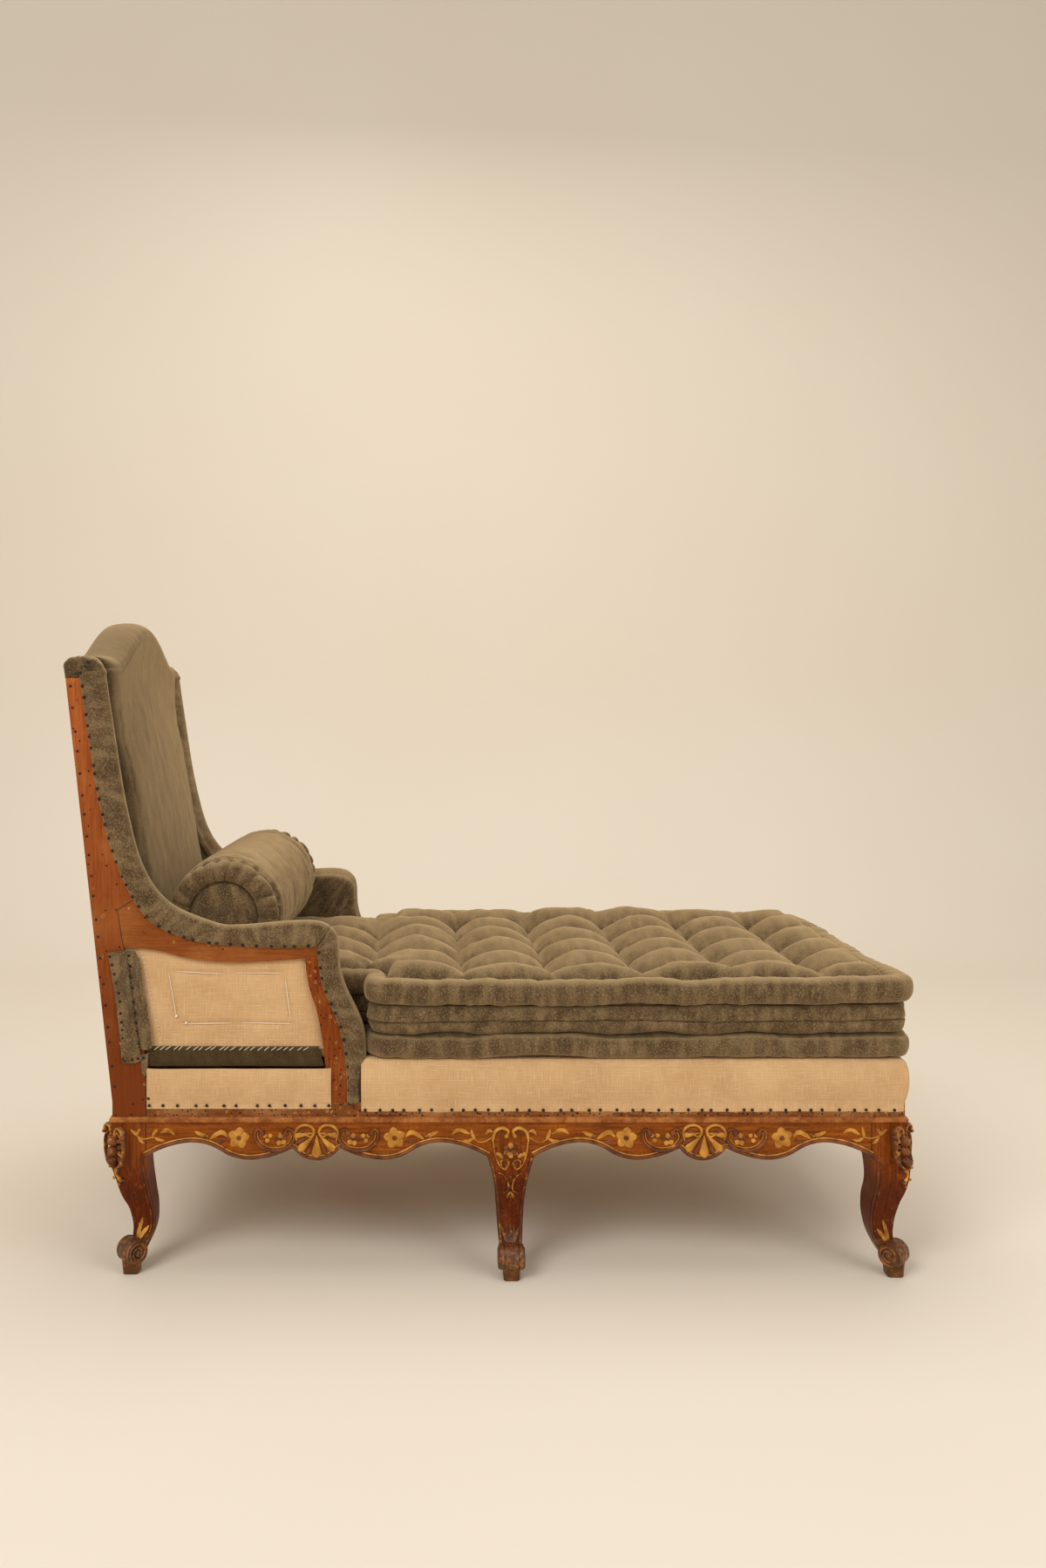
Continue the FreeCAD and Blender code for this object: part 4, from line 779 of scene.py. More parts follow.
def bolster():
    """Profile turned round the axis: pinches in the roll, puckers by the seam, soft long lumps."""
    half = smooth_curve(END_PROFILE, 60)
    middle = stacked(np.linspace(0.124, 2 * BOLSTER_HALF - 0.124, 60), np.full(60, 0.104))
    profile = np.vstack([half, middle, half[::-1] * [-1, 1] + [2 * BOLSTER_HALF, 0]])
    a, r = profile[:, :1], 1.05 * profile[:, 1:]
    turn = np.linspace(0, 2 * math.pi, 230, endpoint=False)[None]
    from_end = np.minimum(a, 2 * BOLSTER_HALF - a)
    side = np.where(a < BOLSTER_HALF, 0.0, 40.0)
    ring = np.clip((r - 0.066) / 0.01, 0, 1) * np.clip((0.031 - from_end) / 0.004, 0, 1)
    around = stacked(np.cos(turn), np.sin(turn), side)
    wander = turn + 0.14 * noise(around, 0.45, 31)
    lumps = wander * 11 + 1.5 * noise(around, 0.42, 36)
    pinch = np.abs(np.sin(lumps + 30 * (r - 0.084))) ** 0.42
    pinch = 1 - np.clip(0.90 + 0.8 * noise(around, 0.4, 34), 0.30, 1.3) * (1 - pinch)
    squeeze = 1 - ring * (0.36 * (1 - pinch) + 0.05 * noise(around, 0.22, 35))
    a = np.where(a < BOLSTER_HALF, 0.016 + (a - 0.016) * squeeze,
        2 * BOLSTER_HALF - 0.016 + (a - 2 * BOLSTER_HALF + 0.016) * squeeze)
    r = 0.084 + (r - 0.084) * squeeze
    # painted shade in the roll's pinches, along the piped seam and round the gusset's crease
    fold = (0.8 * ring * (1 - pinch) ** 1.5
        + 0.75 * np.exp(-((from_end - 0.0335) / 0.0022) ** 2) * (r > 0.09))
    fold = fold + 0.7 * np.exp(-((r - 0.0650) / 0.003) ** 2) * (from_end < 0.02)
    pucker = np.abs(np.sin(lumps)) ** 0.5
    beside = (np.exp(-((from_end - 0.043) / 0.007) ** 2)
        + 0.45 * np.exp(-np.clip(from_end - 0.04, 0, 1) / 0.030) * (from_end > 0.04))
    body = stacked(np.cos(turn) * 0.104, np.sin(turn) * 0.104, a)
    r = r - 0.0080 * beside * (1 - pucker)
    r = (r * (1 + 0.020 * noise(body, 0.11, 32) * (from_end > 0.04))
        - 0.0010 * noise(body * [1, 1, 6.0], 0.05, 33))
    r = np.minimum(r, 0.1095)
    points = stacked(BOLSTER_X + r * np.cos(turn), a - BOLSTER_HALF, BOLSTER_Z + r * np.sin(turn))
    points[..., 2] = np.maximum(points[..., 2], LIES)
    points[..., 0] += SKEW * points[..., 1]
    # more painted shade in the puckers beside the seam
    fold = np.clip(fold + 0.5 * beside * (1 - pucker), 0, 1)
    gusset = (r < 0.068) & (from_end < 0.02)
    return surface(points,
        (np.where(gusset, points[..., 0], turn * 0.1), np.where(gusset, points[..., 2], a)),
        ring=True, fold=fold)


roll = piece("bolster_cover", bolster(), VELVET, "bolster", ["bolster"])
swollen(roll, lambda p, fold: (fold > 0.4) | (p[:, 2] < LIES + 0.002), 0.003)
print(roll.name, len(roll.data.polygons), "faces")

# %% [markdown]
# ## Arm and wing cover
# One length of velvet starts under a row of tacks on the outer face, goes round a padded
# edge and down the inside of the arm. At each station along the edge the section is: out
# from the tacks, a quarter round, across the board, a quarter round, then down the inside.

# %% Outlines of the arm
def back_points(pairs):
    """Points given as distance ahead of the posts' leaning rear face and height over the rail."""
    return [(lean_x(RAIL_TOP + h) + d, RAIL_TOP + h) for d, h in pairs]


def arm_points(pairs):
    """Points given from the arm's front top corner."""
    return [(ARM_X + dx, ARM_TOP + dz) for dx, dz in pairs]


BACK_EDGE = back_points([(0.0738, 0.812), (0.0746, 0.796), (0.079, 0.672), (0.086, 0.551),
                         (0.105, 0.439), (0.147, 0.374), (0.224, 0.337)])
ARM_EDGE = arm_points([(-0.187, -0.008), (-0.084, 0), (-0.038, -0.001), (-0.014, -0.012),
                       (-0.001, -0.034), (0.002, -0.086), (0.014, -0.128), (0.045, -0.196),
                       (0.052, -0.255), (0.0455, -0.300), (0.042, -0.339)])
BACK_TACKS = back_points([(0.0268, 0.805), (0.027, 0.789), (0.031, 0.680), (0.0365, 0.569),
                          (0.0565, 0.448), (0.103, 0.345), (0.184, 0.303)])
ARM_TACKS = arm_points([(-0.174, -0.047), (-0.092, -0.0495), (-0.052, -0.0485), (-0.0387, -0.048),
                        (-0.0380, -0.056), (-0.035, -0.085), (-0.027, -0.125), (-0.001, -0.186),
                        (0.012, -0.240), (0.0177, -0.296), (0.018, -0.339)])
EDGE, TACKED = np.array(BACK_EDGE + ARM_EDGE), np.array(BACK_TACKS + ARM_TACKS)
# the mitre seam runs to this point of the outline
MITRE = 10.0


def back_front_x(z):
    """Front of the inside back: rear face, back rail, webbing, and padding that thins upwards."""
    share = (z - PLATFORM_TOP) / (POST_TOP - PLATFORM_TOP)
    return lean_x(z) + 0.0345 + 0.053 - 0.017 * share


INSIDE_Z = [1.134, 1.118, 0.990, 0.860, 0.740, 0.640, 0.550, 0.470]
INSIDE_LOW_X = [-0.600, -0.560, -0.500, -0.450, -0.400, -0.350, -0.300, -0.262]
INSIDE_LOW = [(x, 0.405) for x in INSIDE_LOW_X] + [(-0.262, 0.362), (-0.262, 0.322)]
INSIDE = np.array([(back_front_x(z) - 0.036, z) for z in INSIDE_Z] + INSIDE_LOW)


def wing_cover():
    """Section from the tacks round the edge, ruled from the inner edge to the back and seat."""
    t = even_steps(EDGE, 460)
    edge, tacked = curve_at(EDGE, t), curve_at(TACKED, t)
    end = np.stack([np.interp(t, np.arange(len(INSIDE)), column) for column in INSIDE.T], -1)
    away = edge - tacked
    wide = np.linalg.norm(away, axis=1)[:, None]
    away = away / wide
    far = lengths(edge)[:, None]
    mitre = 1 - 0.75 * np.exp(-((t[:, None] - MITRE) / 0.10) ** 2)
    puckered = np.sin(math.pi * between(far, stitch_marks(far[-1, 0], 0.024, 41))) ** 0.6
    full = mitre * (1 + 0.12 * ripple(far, 0.06, 42))
    r = 0.0125
    a = np.linspace(0, 1, 14)[None]
    q1 = a * (wide - r)
    y1 = (-HALF_WIDTH - 0.0004
        - (0.0040 * np.minimum(1, a / 0.10) ** 0.5 + 0.0042 * np.sin(math.pi * a) ** 0.6) * full)
    y1 = y1 + 0.0022 * (1 - puckered) * np.exp(-((a - 0.08) / 0.10) ** 2)
    turn = np.linspace(0, math.pi / 2, 7)[None, 1:]
    ya = y1[:, -1:]
    q2, y2 = wide - r + r * np.sin(turn), ya + r * (1 - np.cos(turn))
    drop = np.interp(t, [0, 5.0, 7.0, 9.5, 11.5], [0.0160, 0.0160, 0.0110, 0.0110, 0.0040])[:, None]
    c = np.linspace(0, 1, 9)[None, 1:]
    yb, yc = y2[:, -1:], np.full_like(wide, -ARM_INNER - r)
    q3, y3 = wide + 0.0035 * np.sin(math.pi * c) * full - drop * c, yb + (yc - yb) * c
    q4, y4 = wide - drop - r + r * np.cos(turn), yc + r * np.sin(turn)
    q, y = np.concatenate([q1, q2, q3, q4], 1), np.concatenate([y1, y2, y3, y4], 1)
    plane = tacked[:, None] + away[:, None] * q[..., None]
    d = (np.linspace(0, 1, 40)[1:] ** 1.15)[None]
    from_here = plane[:, -1:]
    inside = from_here + (end[:, None] - from_here) * d[..., None]
    y5 = -ARM_INNER + 0.0030 * np.sin(math.pi * d) * np.clip((inside[..., 1] - 0.56) / 0.05, 0, 1)
    y5 = (y5 - 0.0016 * (1 + noise(inside, 0.06, 43))
        - 0.004 * np.clip(0.42 - inside[..., 1], 0, 0.02) / 0.02)
    plane, y = np.concatenate([plane, inside], 1), np.concatenate([y, y5], 1)
    points = on_face(plane, y)
    points[..., 1] -= 0.0008 * noise(points, 0.02, 44)
    across = np.linalg.norm(np.diff(points, axis=1, prepend=points[:, :1]), axis=2).cumsum(1)
    # painted shade in the puckers by the tacks, along the mitre, and low on the inside arm by the
    # seat
    fold = np.zeros(points.shape[:2])
    fold[:, :14] = (0.6 * (1 - puckered) * np.exp(-a / 0.12)
        + 0.75 * np.exp(-((t[:, None] - MITRE) / 0.05) ** 2))
    fold[:, -39:] = 0.7 * np.clip((d - 0.85) / 0.15, 0, 1)
    return surface(points, (far, across), fold=np.clip(fold, 0, 1))


cover = wing_cover()
for side, part in (("right", cover), ("left", mirrored(cover))):
    thing = piece("wing_cover_" + side, part, VELVET, "chaise",
        ["wing_border_" + side, "inside_arm_pad_" + side])
    print(thing.name, len(thing.data.polygons), "faces")

# %% [markdown]
# ## Crest and inside back
# The crest is a roll of stuffing over the top rail and the ends of the posts. Its section
# is carried across the back and lifted by the rail's bow. Each end is closed by a folded ear.
# The inside back is one piece of velvet: up the front, smoothly over the crest and down
# behind it. Its sides drop to the wings in a seam.

# %% Crest cover
BACK_HALF = ARM_INNER + 0.006
CREST_DEEP, CREST_HIGH, CREST_RISE, CREST_REACH = 0.082, 0.042, 0.079, 0.262
CREST_SECTION = np.array([(0.0, 0.0), (-0.03, 0.25), (-0.068, 0.5), (-0.01, 0.78), (0.13, 0.94),
                          (0.45, 1.0), (0.74, 0.93), (0.92, 0.70), (0.985, 0.42),
                          (0.97, 0.20), (0.93, 0.0)]) * [CREST_DEEP, CREST_HIGH]
CREST_MIDDLE = np.array([0.45 * CREST_DEEP, 0.42 * CREST_HIGH])


def crest_rise(y):
    """Bow of the crest: rise * (1/2 + 1/2 cos(pi * y / reach)) ** 0.65, level past the reach."""
    return CREST_RISE * (0.5 + 0.5 * np.cos(math.pi * np.minimum(1, abs(y) / CREST_REACH))) ** 0.65


def crest_cover():
    """Section carried across and lifted; each end shrinks to its middle and closes in an ear."""
    section = smooth_curve(CREST_SECTION, 46)
    under = np.linspace(1, 0, 14)[1:-1, None] * [section[-1, 0], 0]
    section = np.vstack([section, under])
    half = HALF_WIDTH + 0.003
    cap = np.array([0, 0.35, 0.65, 0.82, 0.90, 0.96, 1.0])
    cap_y = half - np.array([0.0015, 0.0010, 0.0, 0.0010, 0.0030, 0.0070, 0.0125])
    y = np.concatenate([-cap_y, np.linspace(-half + 0.018, half - 0.018, 190), cap_y[::-1]])
    size = np.concatenate([cap, np.ones(190), cap[::-1]])[:, None, None]
    far_out = np.abs(y)[:, None]
    near_end = np.clip((far_out - 0.298) / 0.012, 0, 1)
    plane = CREST_MIDDLE + (section[None] - CREST_MIDDLE) * size
    before = np.clip((plane[..., 0] - CREST_MIDDLE[0]) / 0.04, 0, 1)
    plane[..., 0] -= 0.016 * near_end * np.clip((half - far_out) / 0.07, 0, 1) * before
    plane[..., 1] -= 0.010 * near_end * before ** 2 * np.clip(plane[..., 1] / 0.03, 0, 1)
    spot = stacked(plane[..., 0], y[:, None], plane[..., 1])
    turn = np.arctan2(plane[..., 1] - CREST_MIDDLE[1], plane[..., 0] - CREST_MIDDLE[0])
    swell = 0.0022 * noise(spot, 0.07, 51) + 0.0010 * noise(spot, 0.025, 52)
    ear = np.exp(-((np.abs(y)[:, None] - half + 0.004) / 0.022) ** 2)
    fold = (-0.006 * ear
        * np.exp(-((plane[..., 0] - 0.050 - 0.25 * (0.03 - plane[..., 1])) / 0.0035) ** 2))
    gather = -0.0022 * ear * (1 - np.abs(np.sin(7 * turn)) ** 0.5)
    grow = ((swell + fold + gather) * np.minimum(1, size[..., 0] * 1.5)
        * np.clip(plane[..., 1] / 0.006, 0, 1))
    x = plane[..., 0] + grow * np.cos(turn)
    z = plane[..., 1] + grow * np.sin(turn)
    points = stacked(lean_x(POST_TOP) - 0.0035 + x, y[:, None],
        POST_TOP + crest_rise(y)[:, None] + z)
    # painted shade: in the ear's fold, a little over the whole crest, and more towards the right arm
    dark = (0.8 * ear * np.exp(-((plane[..., 0] - 0.050 - 0.25 * (0.03 - plane[..., 1]))
        / 0.0030) ** 2))
    dark = np.clip(dark + 0.26 - 0.14 * y[:, None] / BACK_HALF, 0, 1)
    return surface(points, (lengths(section)[None], y[:, None]), ring=True, flip=True, fold=dark)


crest = piece("crest_velvet", crest_cover(), VELVET, "chaise", ["crest_cover"])

# %% [markdown]
# The inside back needs more shape than the crest: it swells in the middle, and its columns of
# points stand closer together near the wings, where the cloth turns in sharply.

# %% Inside back
def inside_back():
    """Each column goes up the front, leans out to the crest, and follows it over and down."""
    y = BACK_HALF * np.sin(np.linspace(-math.pi / 2, math.pi / 2, 130))[None]
    rise = crest_rise(y)
    q = np.linspace(0, 1, 110)[:, None]
    z = 0.4065 + (POST_TOP + rise + 0.42 * CREST_HIGH - 0.4065) * q
    share = (z - PLATFORM_TOP) / (POST_TOP - PLATFORM_TOP)
    spot = stacked(y, z)
    lumps = 0.0030 * noise(spot, 0.13, 61) + 0.0008 * noise(spot, 0.03, 62)
    crown = 0.017 * (1 - (y / ARM_INNER) ** 2) * np.sin(math.pi * np.minimum(q * 1.02, 1)) ** 0.5
    front = np.minimum(lean_x(z) + 0.1115 - 0.035 * share + 0.6 * crown + lumps, -0.6255)
    over = np.clip((z - (POST_TOP + rise - 0.20)) / 0.217, 0, 1)
    over = over * over * (3 - 2 * over)
    front = front + (lean_x(POST_TOP) + 0.0795 - front) * over
    edge = (1 - np.abs(y / BACK_HALF) ** 14) ** 0.4
    rear = lean_x(z) + 0.0340
    beside = rear + (lean_x(POST_TOP) + 0.0605 - rear) * over
    x = beside + (front - beside) * edge
    section = smooth_curve(CREST_SECTION[::-1][2:], 46)
    section = (section + units(section - CREST_MIDDLE) * 0.0022)[:, None] - 0 * y[..., None]
    shrink = 0.0034 * (1 - edge)[..., None]
    section = section - units(section - CREST_MIDDLE) * shrink
    section[..., 0] -= (0.0170 * (1 - edge)
        * np.clip((section[..., 0] - CREST_MIDDLE[0]) / 0.04, 0, 1))
    x = np.concatenate([x, lean_x(POST_TOP) - 0.0035 + section[..., 0]])
    z = np.concatenate([z, POST_TOP + rise + section[..., 1]])
    far = np.concatenate([q * 0.75, 0.75 + lengths(section[:, 65])[:, None]])
    # painted shade: darker towards the right arm, and in the crevices beside the wings
    brush_and_painted_shade = 0.33 - 0.24 * y / BACK_HALF
    dark = np.concatenate([0.75 * (1 - edge) * (1 - over) + brush_and_painted_shade + 0.10 * over,
        np.full((46, y.shape[1]), 0.10) + brush_and_painted_shade])
    dark = np.clip(dark, 0, 1)
    return surface(stacked(x, y, z), (y, far), flip=True, fold=dark)


pillow = piece("inside_back_cover", inside_back(), VELVET, "chaise", ["inside_back_pad"])
swollen(pillow, lambda p, fold: (np.abs(p[:, 1]) > 0.285) | (p[:, 2] < 0.42)
    | (p[:, 2] > POST_TOP - 0.05), 0.0015)
for thing in (crest, pillow):
    print(thing.name, len(thing.data.polygons), "faces")

# %% [markdown]
# ## Small things in numbers
# Tacks and stitches repeat by the hundred, so one array holds them all. A tack head is a low
# dome on a rim. A stitch is a short tube, thick in the middle, that dives in at both ends.

# %% Tacks and stitches
def frames_along(direction):
    """Two unit vectors square to each direction and to each other."""
    direction = units(direction)
    other = np.where(np.abs(direction[:, 2:]) < 0.9, [[0.0, 0, 1]], [[1.0, 0, 0]])
    first = units(np.cross(other, direction))
    return first, np.cross(direction, first)


def many(rings, first, second, start, along):
    """Copies one turned outline: rings of (share along, radius) from each start on."""
    turn = np.linspace(0, 2 * math.pi, 8, endpoint=False)
    share, radius = np.array(rings).T
    circle = first[:, None] * np.cos(turn)[:, None] + second[:, None] * np.sin(turn)[:, None]
    points = (start[:, None, None] + along[:, None, None] * share[:, None, None]
        + circle[:, None] * radius[:, None, None])
    faces = grid_faces(len(rings), 8, ring=True)[:, ::-1]
    starts = np.arange(len(start)) * len(rings) * 8
    return {"points": points.reshape(-1, 3),
        "faces": (faces[None] + starts[:, None, None]).reshape(-1, 4)}


def tack_heads(places, outward, radius=0.0032, seed=0):
    """Domes 1.5 mm high, each a little off its place and a little tilted."""
    places = np.asarray(places, float)
    outward = units(np.broadcast_to(np.asarray(outward, float), places.shape))
    tilt = np.stack([noise(places * 31 + k, 0.5, seed + k) for k in range(3)], -1)
    first, second = frames_along(outward + 0.12 * tilt)
    rings = [(-0.4, 0.85 * radius), (0.15, radius), (0.55, 0.88 * radius), (0.85, 0.55 * radius),
        (1.0, 0.0004)]
    return many(rings, first, second, places + 0.0006 * tilt, 0.0015 * units(outward + 0.12 * tilt))


def stitches(starts, ends, radius=0.0010):
    """Tubes from start to end, each end drawn down to a point."""
    starts, ends = np.asarray(starts, float), np.asarray(ends, float)
    first, second = frames_along(ends - starts)
    rings = [(0.0, 0.15 * radius), (0.12, 0.8 * radius), (0.5, radius), (0.88, 0.8 * radius),
        (1.0, 0.15 * radius)]
    return many(rings, first, second, starts, ends - starts)


def along_line(points, pitch, seed):
    """Places along a line at a hand-spaced pitch."""
    points = np.asarray(points, float)
    far = lengths(points)
    at = stitch_marks(far[-1], pitch, seed)
    return np.stack([np.interp(at, far, column) for column in points.T], -1)


tacks = []
t = even_steps(TACKED, 400)
tack_line = along_line(curve_at(TACKED, t), 0.024, 71)
over = curve_at(EDGE, t)
inward = (0.0045 * units(np.stack([np.interp(lengths(tack_line), lengths(curve_at(TACKED, t)), c)
    for c in over.T], -1) - tack_line))
tack_line = tack_line + inward
tacks.append(tack_heads(on_face(tack_line, -HALF_WIDTH - 0.0066), (0, -1, 0), 0.0036, seed=1))

# %% [markdown]
# ## Hessian panel of the arm
# The panel is cut to the opening and nailed inside it. Six long stitches, tied off with two
# knots, show where the stuffing of the inside arm is caught. Its sheet is a patch between
# four curves: post, arm rail, stump and the top of the pulled strip.

# %% Hessian panel
def patch(low, high, left, right, columns, rows):
    """Surface between four curves: two rulings added, less the ruling between the corners."""
    u, v = np.linspace(0, 1, columns)[None, :, None], np.linspace(0, 1, rows)[:, None, None]
    low, high = [evenly(np.array(line, float), columns)[None] for line in (low, high)]
    left, right = [evenly(np.array(line, float), rows)[:, None] for line in (left, right)]
    corners = ((1 - v) * ((1 - u) * low[:, :1] + u * low[:, -1:])
        + v * ((1 - u) * high[:, :1] + u * high[:, -1:]))
    return (1 - v) * low + v * high + (1 - u) * left + u * right - corners


def cut_line(points, z0, z1):
    """The part of an x-z line between two heights, the points in rising order."""
    points = np.array(sorted(points, key=lambda p: p[1]))
    z = np.concatenate([[z0], points[(points[:, 1] > z0) & (points[:, 1] < z1), 1], [z1]])
    return stacked(np.interp(z, points[:, 1], points[:, 0]), z)


PANEL_Y = -0.3708
STRIP_TOP, STRIP_LOW = 0.426, 0.388
POST_FRONT = back_points([(0.0635, 0.0), (0.0718, 0.075), (0.0527, 0.2915)])
UNDER_ARM = (back_points([(0.0527, 0.2915), (0.108, 0.286), (0.185, 0.268)])
    + arm_points([(-0.184, -0.077), (-0.143, -0.075), (-0.0608, -0.069)]))
STUMP_REAR = arm_points([(-0.0608, -0.069), (-0.056, -0.108), (-0.035, -0.184), (-0.024, -0.260),
                         (-0.020, -0.339)])


def near_line(spot, a, b, width):
    """Falls from 1 on the line from a to b to 0 away from it: exp(-(distance / width) ** 2)."""
    a, b = np.array(a), np.array(b)
    share = np.clip(((spot - a) @ (b - a)) / ((b - a) @ (b - a)), 0, 1)
    return np.exp(-(np.linalg.norm(spot - a - share[..., None] * (b - a), axis=-1) / width) ** 2)


SIDE_UNIT, SIDE_ORIGIN = 0.001634, (561, 1462)


def photo_xz(px, py):
    """A place on the near face, from the measured drawing of the side: 1.634 mm for each unit."""
    return ((px - SIDE_ORIGIN[0]) * SIDE_UNIT, (SIDE_ORIGIN[1] - py) * SIDE_UNIT)


QUILT_ROWS = [[(192.6, 1117.1), (201.5, 1166.8)], [(200.4, 1115.6), (257.2, 1118.3)],
              [(266.2, 1117.1), (323.2, 1117.4)],
              [(326.6, 1124.1), (332.9, 1168.3)], [(205.6, 1176.0), (265.7, 1174.8)],
              [(274.9, 1174.4), (335.1, 1175.7)]]
QUILT_ROWS = [[photo_xz(*p) for p in row] for row in QUILT_ROWS]


def arm_panel():
    """Flat hessian with slack between its edges, drawn in along the rows of stitches."""
    plane = patch(cut_line(POST_FRONT, STRIP_TOP - 0.006, STRIP_TOP + 0.001)[:1].tolist()
                  + cut_line(STUMP_REAR, STRIP_TOP - 0.006, STRIP_TOP)[:1].tolist(),
                  UNDER_ARM, cut_line(POST_FRONT, STRIP_TOP - 0.006, UNDER_ARM[0][1]),
                  cut_line(STUMP_REAR, STRIP_TOP - 0.006, UNDER_ARM[-1][1]), 96, 60)
    u, v = np.linspace(0, 1, 96)[None], np.linspace(0, 1, 60)[:, None]
    y = (PANEL_Y - 0.0030 * (np.sin(math.pi * u) * np.sin(math.pi * v)) ** 0.4
        - 0.0010 * noise(plane, 0.05, 81))
    for row in QUILT_ROWS:
        for a, b in zip(row, row[1:]):
            y = y + 0.0032 * near_line(plane, a, b, 0.0050)
    return surface(on_face(plane, y), (plane[..., 0], plane[..., 1]), flip=True)


panel = arm_panel()
threads = []
ends_of = np.array(QUILT_ROWS)
threads.append(stitches(on_face(ends_of[:, 0], PANEL_Y - 0.0022),
    on_face(ends_of[:, 1], PANEL_Y - 0.0022), 0.0008))
knots = np.array([photo_xz(201.5, 1166.8), photo_xz(212.8, 1174.4)])
threads.append(stitches(on_face(knots - 0.0022, PANEL_Y - 0.0032),
    on_face(knots + 0.0022, PANEL_Y - 0.0032), 0.0024))
dots = along_line([photo_xz(162, 1094), photo_xz(173, 1146), photo_xz(183.8, 1197)], 0.0085, 95)
threads.append(stitches(on_face(dots, PANEL_Y - 0.0036),
    on_face(dots + [0.0008, -0.0022], PANEL_Y - 0.0040), 0.0010))


# %% [markdown]
# ## Pulled strip, flap and knots
# The lower edge of the inside arm's velvet is pulled out under the panel and hangs in a dark
# strip, whipped to the hessian with white thread. At the post a flap of velvet is tacked
# down the wood: its outline is a patch with a ragged free edge.

# %% Pulled strip and flap
def pulled_strip():
    """A flattened roll between the panel and the platform: half an ellipse from end to end."""
    x0 = cut_line(POST_FRONT, STRIP_LOW, STRIP_TOP)[0, 0] + 0.0005
    x1 = cut_line(STUMP_REAR, STRIP_LOW, STRIP_TOP)[0, 0] - 0.0010
    x = np.linspace(x0, x1, 130)[:, None]
    turn = np.linspace(-math.pi / 2, math.pi / 2, 26)[None]
    spot = stacked(x, turn * 0.03)
    full = 1 + 0.10 * noise(spot, 0.035, 101) + 0.05 * noise(spot, 0.012, 102)
    z = ((STRIP_LOW + STRIP_TOP) / 2 + 0.0188 * np.sign(turn) * np.abs(np.sin(turn)) ** 0.8
        + 0.0006 * noise(spot, 0.03, 103))
    lean = (z - STRIP_LOW) / (STRIP_TOP - STRIP_LOW) * 0.012 * (x - x0) / (x1 - x0)
    y = PANEL_Y + 0.0010 - 0.0085 * np.abs(np.cos(turn)) ** 0.45 * full
    return surface(stacked(x - lean, y, z), (x, turn * 0.02))


def flap_part(low, high, left, right, lift, seed):
    """One cut of velvet on the post: a patch with a ragged right edge."""
    low, high, left, right = [smooth_curve([photo_xz(*p) for p in line], 30)
        for line in (low, high, left, right)]
    plane = patch(low, high, left, right, 24, 80)
    u, v = np.linspace(0, 1, 24)[None], np.linspace(0, 1, 80)[:, None]
    plane[..., 0] += 0.0012 * noise(stacked(v * 7.0, v), 0.05, seed) * u ** 6
    y = (-HALF_WIDTH - lift - 0.0012 * noise(plane, 0.03, seed + 1)
        - 0.0012 * np.sin(math.pi * u) ** 0.5)
    return surface(on_face(plane, y), (plane[..., 0], plane[..., 1]), flip=True)


def post_flap():
    """The main cut, tacked along its left edge and foot; the cut beside it; a tail below."""
    seam = [(163.8, 1214.3), (161.1, 1203), (156.6, 1169.5), (151, 1126.8), (145.9, 1089.8)]
    outer = [(139.8, 1214.3), (138.7, 1194), (134.9, 1162.7), (131.5, 1135.8), (124.1, 1093.1)]
    rest = [(175, 1202), (172.3, 1176.2), (167.9, 1149.2), (163.8, 1126.8), (160.7, 1104.3),
        (155.5, 1090.9)]
    main = flap_part([outer[0], (142, 1218.8), (153.3, 1219.3), (162.2, 1216.5), seam[0]],
        [outer[-1], (135, 1091), seam[-1]], outer, seam, 0.0034, 111)
    beside = flap_part([seam[1], (168, 1204.2), rest[0]], [seam[-1], (150.5, 1090.2), rest[-1]],
        seam[1:], rest, 0.0024, 113)
    tail = flap_part([(162.9, 1230), (165.6, 1234.1), (169, 1230)],
                     [(162.2, 1210), (166, 1209), (171, 1208)],
                     [(162.9, 1230), (162.3, 1220), (162.2, 1210)],
                     [(169, 1230), (170.1, 1218), (171, 1208)], 0.0012, 115)
    return joined([main, beside, tail])


whip = along_line([(cut_line(POST_FRONT, 0.4, STRIP_TOP)[-1][0] + 0.012, STRIP_TOP - 0.001),
    (cut_line(STUMP_REAR, 0.4, STRIP_TOP)[-1][0] - 0.03, STRIP_TOP - 0.003)], 0.0125, 121)
lean = stacked(0.0085 + 0.002 * noise(whip[:, :1] * 40, 0.5, 122),
    0.0052 + 0.001 * noise(whip[:, :1] * 40, 0.5, 123))
threads.append(stitches(on_face(whip - 0.75 * lean, -HALF_WIDTH - 0.0008),
    on_face(whip + 0.35 * lean, PANEL_Y - 0.0040), 0.0007))
flap_edge = [photo_xz(*p) for p in [(141.5, 1214), (141.6, 1190), (137, 1139), (126.5, 1097)]]
flap_seam = [photo_xz(*p) for p in [(159, 1197), (154, 1150), (148.5, 1096)]]
flap_foot = [photo_xz(*p) for p in [(144, 1216.5), (165, 1212.5)]]
zigzag = along_line([photo_xz(163, 1208), photo_xz(156, 1169.5), photo_xz(150.4, 1126.8),
    photo_xz(145.6, 1093)], 0.0075, 126)
swing = 0.0016 * (-1.0) ** np.arange(len(zigzag))[:, None] * [1, 0]
seam_thread = stitches(on_face((zigzag + swing)[:-1], -HALF_WIDTH - 0.0056),
    on_face((zigzag + swing)[1:], -HALF_WIDTH - 0.0056), 0.0006)
for line, pitch in ((flap_edge, 0.017), (flap_seam, 0.021), (flap_foot, 0.013)):
    tacks.append(tack_heads(on_face(along_line(line, pitch, 124), -HALF_WIDTH - 0.0040), (0, -1, 0),
        0.0028, 3))

# %% [markdown]
# ## Platform
# The stuffed platform is covered with hessian and tacked to the rails below its edge. Its
# side is a section again, carried round from one arm to the other, and a flat deck closes it.

